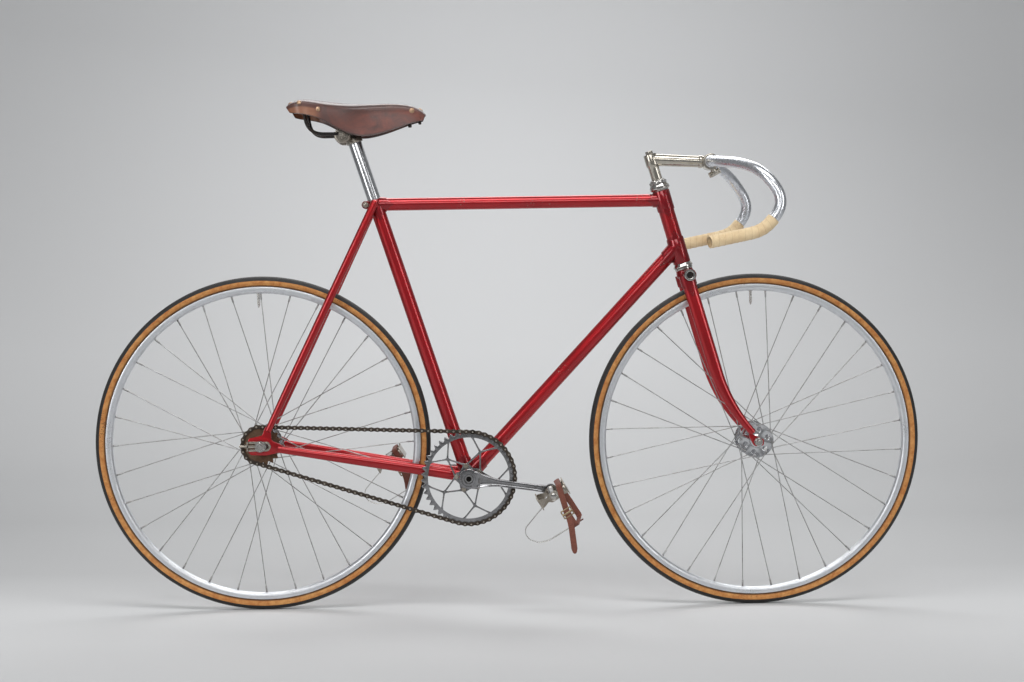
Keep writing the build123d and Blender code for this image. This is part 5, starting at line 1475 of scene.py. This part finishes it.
def crank(side):
    """A crank: a boss with stepped rings, an arm that narrows from it with a flute in its outer face,
    y = out - depth (1 - |t|^4) across the arm, and a round eye at the pedal."""
    end = polar(BRACKET, -CRANK_DROP if side < 0 else 180 - CRANK_DROP, CRANK)
    run = (end - BRACKET) / CRANK
    across = np.cross(LEFT, run)
    d = np.concatenate([np.linspace(8, 60, 27), np.linspace(64, 158, 32)])
    half = np.interp(d, [8, 14, 30, 46, 60, 100, 140, 158], [17.5, 16.8, 12.4, 9.0, 7.2, 6.6, 6.6, 8.4])
    depth = np.interp(d, [17, 24, 40, 138, 150], [0, 3.4, 3.6, 2.8, 0])
    thick = np.interp(d, [8, 60, 158], [11.4, 10.8, 10.6])
    t = np.linspace(-1, 1, 33)
    reach = np.clip(np.abs(t) * half[:, None] / np.maximum(half[:, None] - 1.7, 1), 0, 1)
    face = 63.4 - depth[:, None] * (1 - reach ** 4) - 1.6 * np.abs(t) ** 14
    back = 63.4 - thick[:, None] + 1.6 * np.abs(t) ** 14
    rows = BRACKET + d[:, None, None] * run + (half[:, None] * t)[..., None] * across
    outer = rows + (side * face)[..., None] * LEFT
    inner = rows + (side * back)[..., None] * LEFT
    parts = [grid(np.concatenate([outer, inner[:, ::-1]], 1))]
    boss = [(7.6, 45), (15, 45), (19, 47), (20, 50), (20, 61.4), (19.2, 62.8), (15.6, 63.2), (15.0, 62.4),
            (13.6, 62.4), (13.2, 63.9), (9.6, 64), (9.0, 63.2), (8.8, 61.6), (7.6, 61.4)]
    parts.append(lathe(boss, BRACKET, LEFT * side, 72, wrap=True))
    eye = [(6.6, 52), (11.0, 52), (12.0, 53), (12.0, 63), (11.2, 64), (8.4, 64), (7.8, 63.2), (6.6, 63.2)]
    parts.append(lathe(eye, end, LEFT * side, 48, wrap=True))
    return parts


def make_drive():
    """Chainring, sprocket, chain, cranks and spindles, with painted shade discs over the spindle's end bores.
    """
    ring, bolts = chainring()
    piece("chainring_star", ring, "crank", DARK_STEEL, ["chainring"])
    piece("chainring_bolts", bolts, "crank", NICKEL)
    piece("sprocket_toothed", sprocket(), "rear_wheel", RUSTY_STEEL, ["sprocket"])
    links, pins = chain_links()
    piece("chain_links", links, "frame", CHAIN_STEEL, ["chain"], 40)
    piece("chain_pins", pins, "frame", NICKEL)
    piece("crank_arm_right", crank(-1), "crank", DARK_STEEL, ["crank_right"])
    piece("crank_arm_left", crank(1), "crank", DARK_STEEL, ["crank_left"])
    spindle = [lathe([(7.2, -53.9), (7.5, -53.4), (7.5, 53.4), (7.2, 53.9)], BRACKET, LEFT, 40)]
    for side in (-1, 1):
        spindle.append(lathe([(7, 30), (9.0, 30), (9.0, 42), (7, 42)], BRACKET, LEFT * side, 40))
        spindle.append(lathe([(7.4, 59.0), (7.4, 60.4), (5.6, 60.6), (5.2, 60.2), (5.0, 54.0), (0.4, 54.0)],
                             BRACKET, LEFT * side, 32))
    piece("crank_spindle_round", spindle, "crank", SPOKE_STEEL, ["crank_spindle"])
    # Painted shade: near-black discs over the spindle's end bores, standing in for the shade inside them.
    bore_shades = [lathe([(5.4, 60.0), (5.4, 60.75), (0.4, 60.75)], BRACKET, LEFT * side, 32) for side in (-1, 1)]
    piece("spindle_bore_shades", bore_shades, "crank", HOLLOW_SHADE)


# Pedals


TOE = np.array([math.cos(PEDAL_TURN), 0, math.sin(PEDAL_TURN)])
SOLE = np.array([-TOE[2], 0, TOE[0]])


def pedal_end(side):
    """The centre of a pedal on its crank."""
    return polar(BRACKET, -CRANK_DROP if side < 0 else 180 - CRANK_DROP, CRANK)


def at_pedal(side, ahead, up, y):
    """Points of a pedal by their distance toward the toe, toward the sole and along the spindle."""
    ahead, up, y = np.broadcast_arrays(*map(np.asarray, (ahead, up, y)))
    return pedal_end(side) + ahead[..., None] * TOE + up[..., None] * SOLE + (side * y)[..., None] * LEFT


def ribbon(side, path, wide, thick, y_mid):
    """A strip of metal or leather: a flat oval section carried along (ahead, up) points."""
    path = np.asarray(path, float)
    centres = at_pedal(side, path[:, 0], path[:, 1], y_mid)
    run = unit(np.gradient(centres, axis=0))
    normal = np.cross(run, like(LEFT, run))
    return ovals(centres, like(LEFT, run), np.full(len(path), wide), normal, np.full(len(path), thick), 20)


def cage(side):
    """Two toothed cage plates joined by side plates."""
    parts = []
    n = 25
    y = np.linspace(79, 159, 2 * n + 1)
    teeth = np.where(np.arange(2 * n + 1) % 2, 13.0, 10.8)
    teeth[0] = teeth[-1] = 9
    for ahead in (-30.0, 30.0):
        ring = []
        outline = np.concatenate([np.stack([y, teeth], 1), np.stack([y, -teeth], 1)[::-1]])
        for thick in (-1.0, -0.7, 0.7, 1.0):
            shrink = 0.35 if abs(thick) == 1.0 else 0.0
            ring.append(at_pedal(side, ahead + thick, outline[:, 1] * (1 - shrink / 12), outline[:, 0]))
        parts.append(grid(np.array(ring)))
    for y_side in (79.2, 158.8):
        outline = rounded([(-30, -8.8), (-26, -8.8), (-13, -4), (-8, -9), (8, -9), (13, -4), (26, -8.8),
                           (30, -8.8), (30, 8.8), (26, 8.8), (13, 4), (8, 9), (-8, 9), (-13, 4), (-26, 8.8),
                           (-30, 8.8)], 3)
        rings = [at_pedal(side, outline[:, 0] * k, outline[:, 1] * k, y_side + h)
                 for k, h in ((0.97, -1.05), (1, -0.7), (1, 0.7), (0.97, 1.05))]
        parts.append(grid(np.array(rings)))
    return parts


def toe_clip(side):
    """A thin sprung clip: from the cage's front, forward, round the toe and back over the shoe."""
    corners = [np.array([a, 0.0, u]) for a, u in ((32, -9.5), (32, 12.5), (79.5, 28), (87, 38), (86, 52),
                                                  (74, 67), (54, 74.2), (-25, 75))]
    path = arcs(corners, [4, 12, 12, 16, 20, 40], 3)
    return [ribbon(side, path[:, [0, 2]], 15.5, 1.8, 119.0)]


def toe_strap(side):
    """A leather strap under the pedal, up both sides and over the shoe, its free end hanging past
    a buckle with a roller on the outer run."""
    low, high = 77.2, 161.2
    loop = [(-20, -14, low + 3), (-20, -14, high - 3), (-19, -11, high), (-6, 38, high), (-6, 70, high),
            (-8, 73, high - 4), (-20, 73, low + 4), (-21, 70, low), (-20, -11, low)]
    corners = [np.array(p, float) for p in loop]
    closed = corners[6:] + corners[:7]
    path = arcs(closed, [3.0] * (len(closed) - 2), 2)
    centres = at_pedal(side, path[:, 0], path[:, 1], path[:, 2])
    tail = eased(np.array([(-6, 34, high + 1.8), (-5, 46, high + 2.4), (1, 66, high + 4.0),
                           (14, 94, high + 4.4), (24, 116, high + 3.6)], float), 3.0, 4)
    hanging = at_pedal(side, tail[:, 0], tail[:, 1], tail[:, 2])
    strap = []
    for line, wide in ((centres, np.full(len(centres), 11.6)),
                       (hanging, np.interp(np.arange(len(hanging))[::-1], [0, 1, 3], [3.5, 8.5, 11.8]))):
        run = unit(np.gradient(line, axis=0))
        flat = np.abs(np.sum(run * LEFT, axis=1)) > 0.5
        across = np.where(flat[:, None], like(TOE, run), np.cross(run, LEFT))
        across = unit(across - run * np.sum(across * run, axis=1)[:, None])
        strap.append(ovals(line, across, wide, np.cross(run, across), np.full(len(line), 1.8), 16))
    buckle = []
    for up, size in ((33.0, 1.3), (41.0, 2.4), (48.0, 1.3)):
        centre = at_pedal(side, -6.0, up, high + 2.6)
        buckle.append(straight(centre - TOE * 11.0, centre + TOE * 11.0, size, sides=16))
    for ahead in (-16.5, 4.5):
        buckle.append(straight(at_pedal(side, ahead, 33.0, high + 2.6),
                               at_pedal(side, ahead, 48.0, high + 2.6), 1.3, sides=16))
    return strap, buckle


def make_pedals():
    """Pedal bodies, cages, toe clips and straps, and the spindles in the cranks."""
    spindles = []
    for side, name in ((-1, "right"), (1, "left")):
        body = "pedal_" + name
        end = pedal_end(side)
        out = LEFT * side
        shell = [(5.4, 76), (9.6, 76), (10, 76.6), (10, 80), (8.2, 83), (7.4, 96), (7.4, 136), (8.2, 149),
                 (9.4, 152), (9.4, 158.4), (9.0, 159.4), (7.6, 160.0), (6.4, 159.6), (4, 160.6),
                 (0.5, 160.9)]
        piece("pedal_barrel_" + name, [lathe(shell, end, out, 44)], body, CHROME, ["pedal_body_" + name])
        piece("pedal_cage_cut_" + name, cage(side), body, NICKEL, ["pedal_cage_" + name])
        piece("toe_clip_sprung_" + name, toe_clip(side), body, CHROME, ["toe_clip_" + name])
        strap, buckle = toe_strap(side)
        piece("toe_strap_leather_" + name, strap, body, STRAP, ["toe_strap_" + name])
        piece("strap_buckle_" + name, buckle, body, OLD_BRASS)
        spindles.append(lathe([(4, 52), (6.4, 52), (6.4, 64), (4.5, 64)], end, out, 32))
        spindles.append(lathe([(4.4, 63), (4.4, 152)], end, out, 28))
        spindles.append(hex_nut(end + out * 64.2, out, 6.8, 4.6))
    piece("pedal_spindle_round", spindles, "crank", SPOKE_STEEL, ["pedal_spindles"])


# Stage, light and camera


def backdrop():
    """A pale floor that curves up into a wall far behind the bicycle: y out to a quarter circle, then up."""
    t = np.linspace(0, np.pi / 2, 25)
    y = np.concatenate([[-6.0, 0.0], 2.2 + 1.6 * np.sin(t), [3.8]])
    z = np.concatenate([[0.0, 0.0], 1.6 - 1.6 * np.cos(t), [7.0]])
    x = np.linspace(-9, 9, 13)
    floor = RIDER[2] / -1000
    points = np.stack(np.broadcast_arrays(x[:, None] + 0.35, y, z + floor), 2)
    mesh = bpy.data.meshes.new("studio_floor")
    index = np.arange(points.size // 3).reshape(points.shape[:2])
    faces = np.stack([index[:-1, :-1], index[1:, :-1], index[1:, 1:], index[:-1, 1:]], 2).reshape(-1, 4)
    mesh.from_pydata(points.reshape(-1, 3).tolist(), [], faces.tolist())
    mesh.polygons.foreach_set("use_smooth", [True] * len(mesh.polygons))
    floor_piece = bpy.data.objects.new("studio_floor", mesh)
    bpy.context.collection.objects.link(floor_piece)
    floor_piece.data.materials.append(studio_paper())


def lamp(name, spot, aim, wide, tall, power):
    """A soft rectangular lamp at a place, turned toward another."""
    light = bpy.data.lights.new(name, "AREA")
    light.shape = "RECTANGLE"
    light.size, light.size_y, light.energy = wide, tall, power
    held = bpy.data.objects.new(name, light)
    held.location = spot
    held.rotation_euler = (Vector(aim) - Vector(spot)).to_track_quat("-Z", "Y").to_euler()
    bpy.context.collection.objects.link(held)


def light_studio():
    """Two long overhead soft boxes, one at each side, a broad one above the camera, and a grey surround."""
    lamp("overhead_box", (0.2, -1.3, 2.3), (0.35, 0.0, -0.5), 3.6, 0.9, 52)
    lamp("rear_box", (0.6, 2.0, 1.9), (0.35, 0.0, -0.6), 3.6, 1.2, 55)
    lamp("left_box", (-2.6, -2.7, 0.4), (0.2, 0.0, -0.5), 0.9, 2.2, 34)
    lamp("right_box", (3.2, -2.4, 0.4), (0.4, 0.0, -0.5), 0.7, 2.0, 18)
    lamp("front_box", (0.3, -4.2, 1.5), (0.3, 0.0, -0.5), 2.6, 1.0, 28)
    world = bpy.data.worlds.new("studio_air")
    bpy.context.scene.world = world
    world.use_nodes = True
    tree = world.node_tree
    feed(tree, tree.nodes["Background"], Color=(0.62, 0.63, 0.64, 1), Strength=0.34)


def place_camera():
    """The photograph's viewpoint: yaw 1.9, pitch 2.6 down and a roll of a third of a degree."""
    yaw, pitch, roll = math.radians(1.9), math.radians(2.6), math.radians(-0.33)
    forward = Vector((math.sin(yaw) * math.cos(pitch), math.cos(yaw) * math.cos(pitch), -math.sin(pitch)))
    level = Vector((math.cos(yaw), -math.sin(yaw), 0.0))
    above = level.cross(forward)
    right = level * math.cos(roll) + above * math.sin(roll)
    up = above * math.cos(roll) - level * math.sin(roll)
    camera = bpy.data.cameras.new("photo_camera")
    camera.lens, camera.sensor_width = 59.57, 36.0
    camera.clip_end = 60.0
    held = bpy.data.objects.new("photo_camera", camera)
    turned = Matrix((right, up, -forward)).transposed().to_4x4()
    turned.translation = Vector((0.2391, -3.425, -0.325))
    held.matrix_world = turned
    bpy.context.collection.objects.link(held)
    bpy.context.scene.camera = held


make_wheels()
main_tubes()
head_lugs()
seat_cluster()
rear_triangle()
bottom_bracket()
rear_axle()
headset()
make_fork()
make_stem()
make_bars()
make_saddle()
make_drive()
make_pedals()
backdrop()
light_studio()
place_camera()
bpy.context.scene.view_settings.view_transform = "Standard"
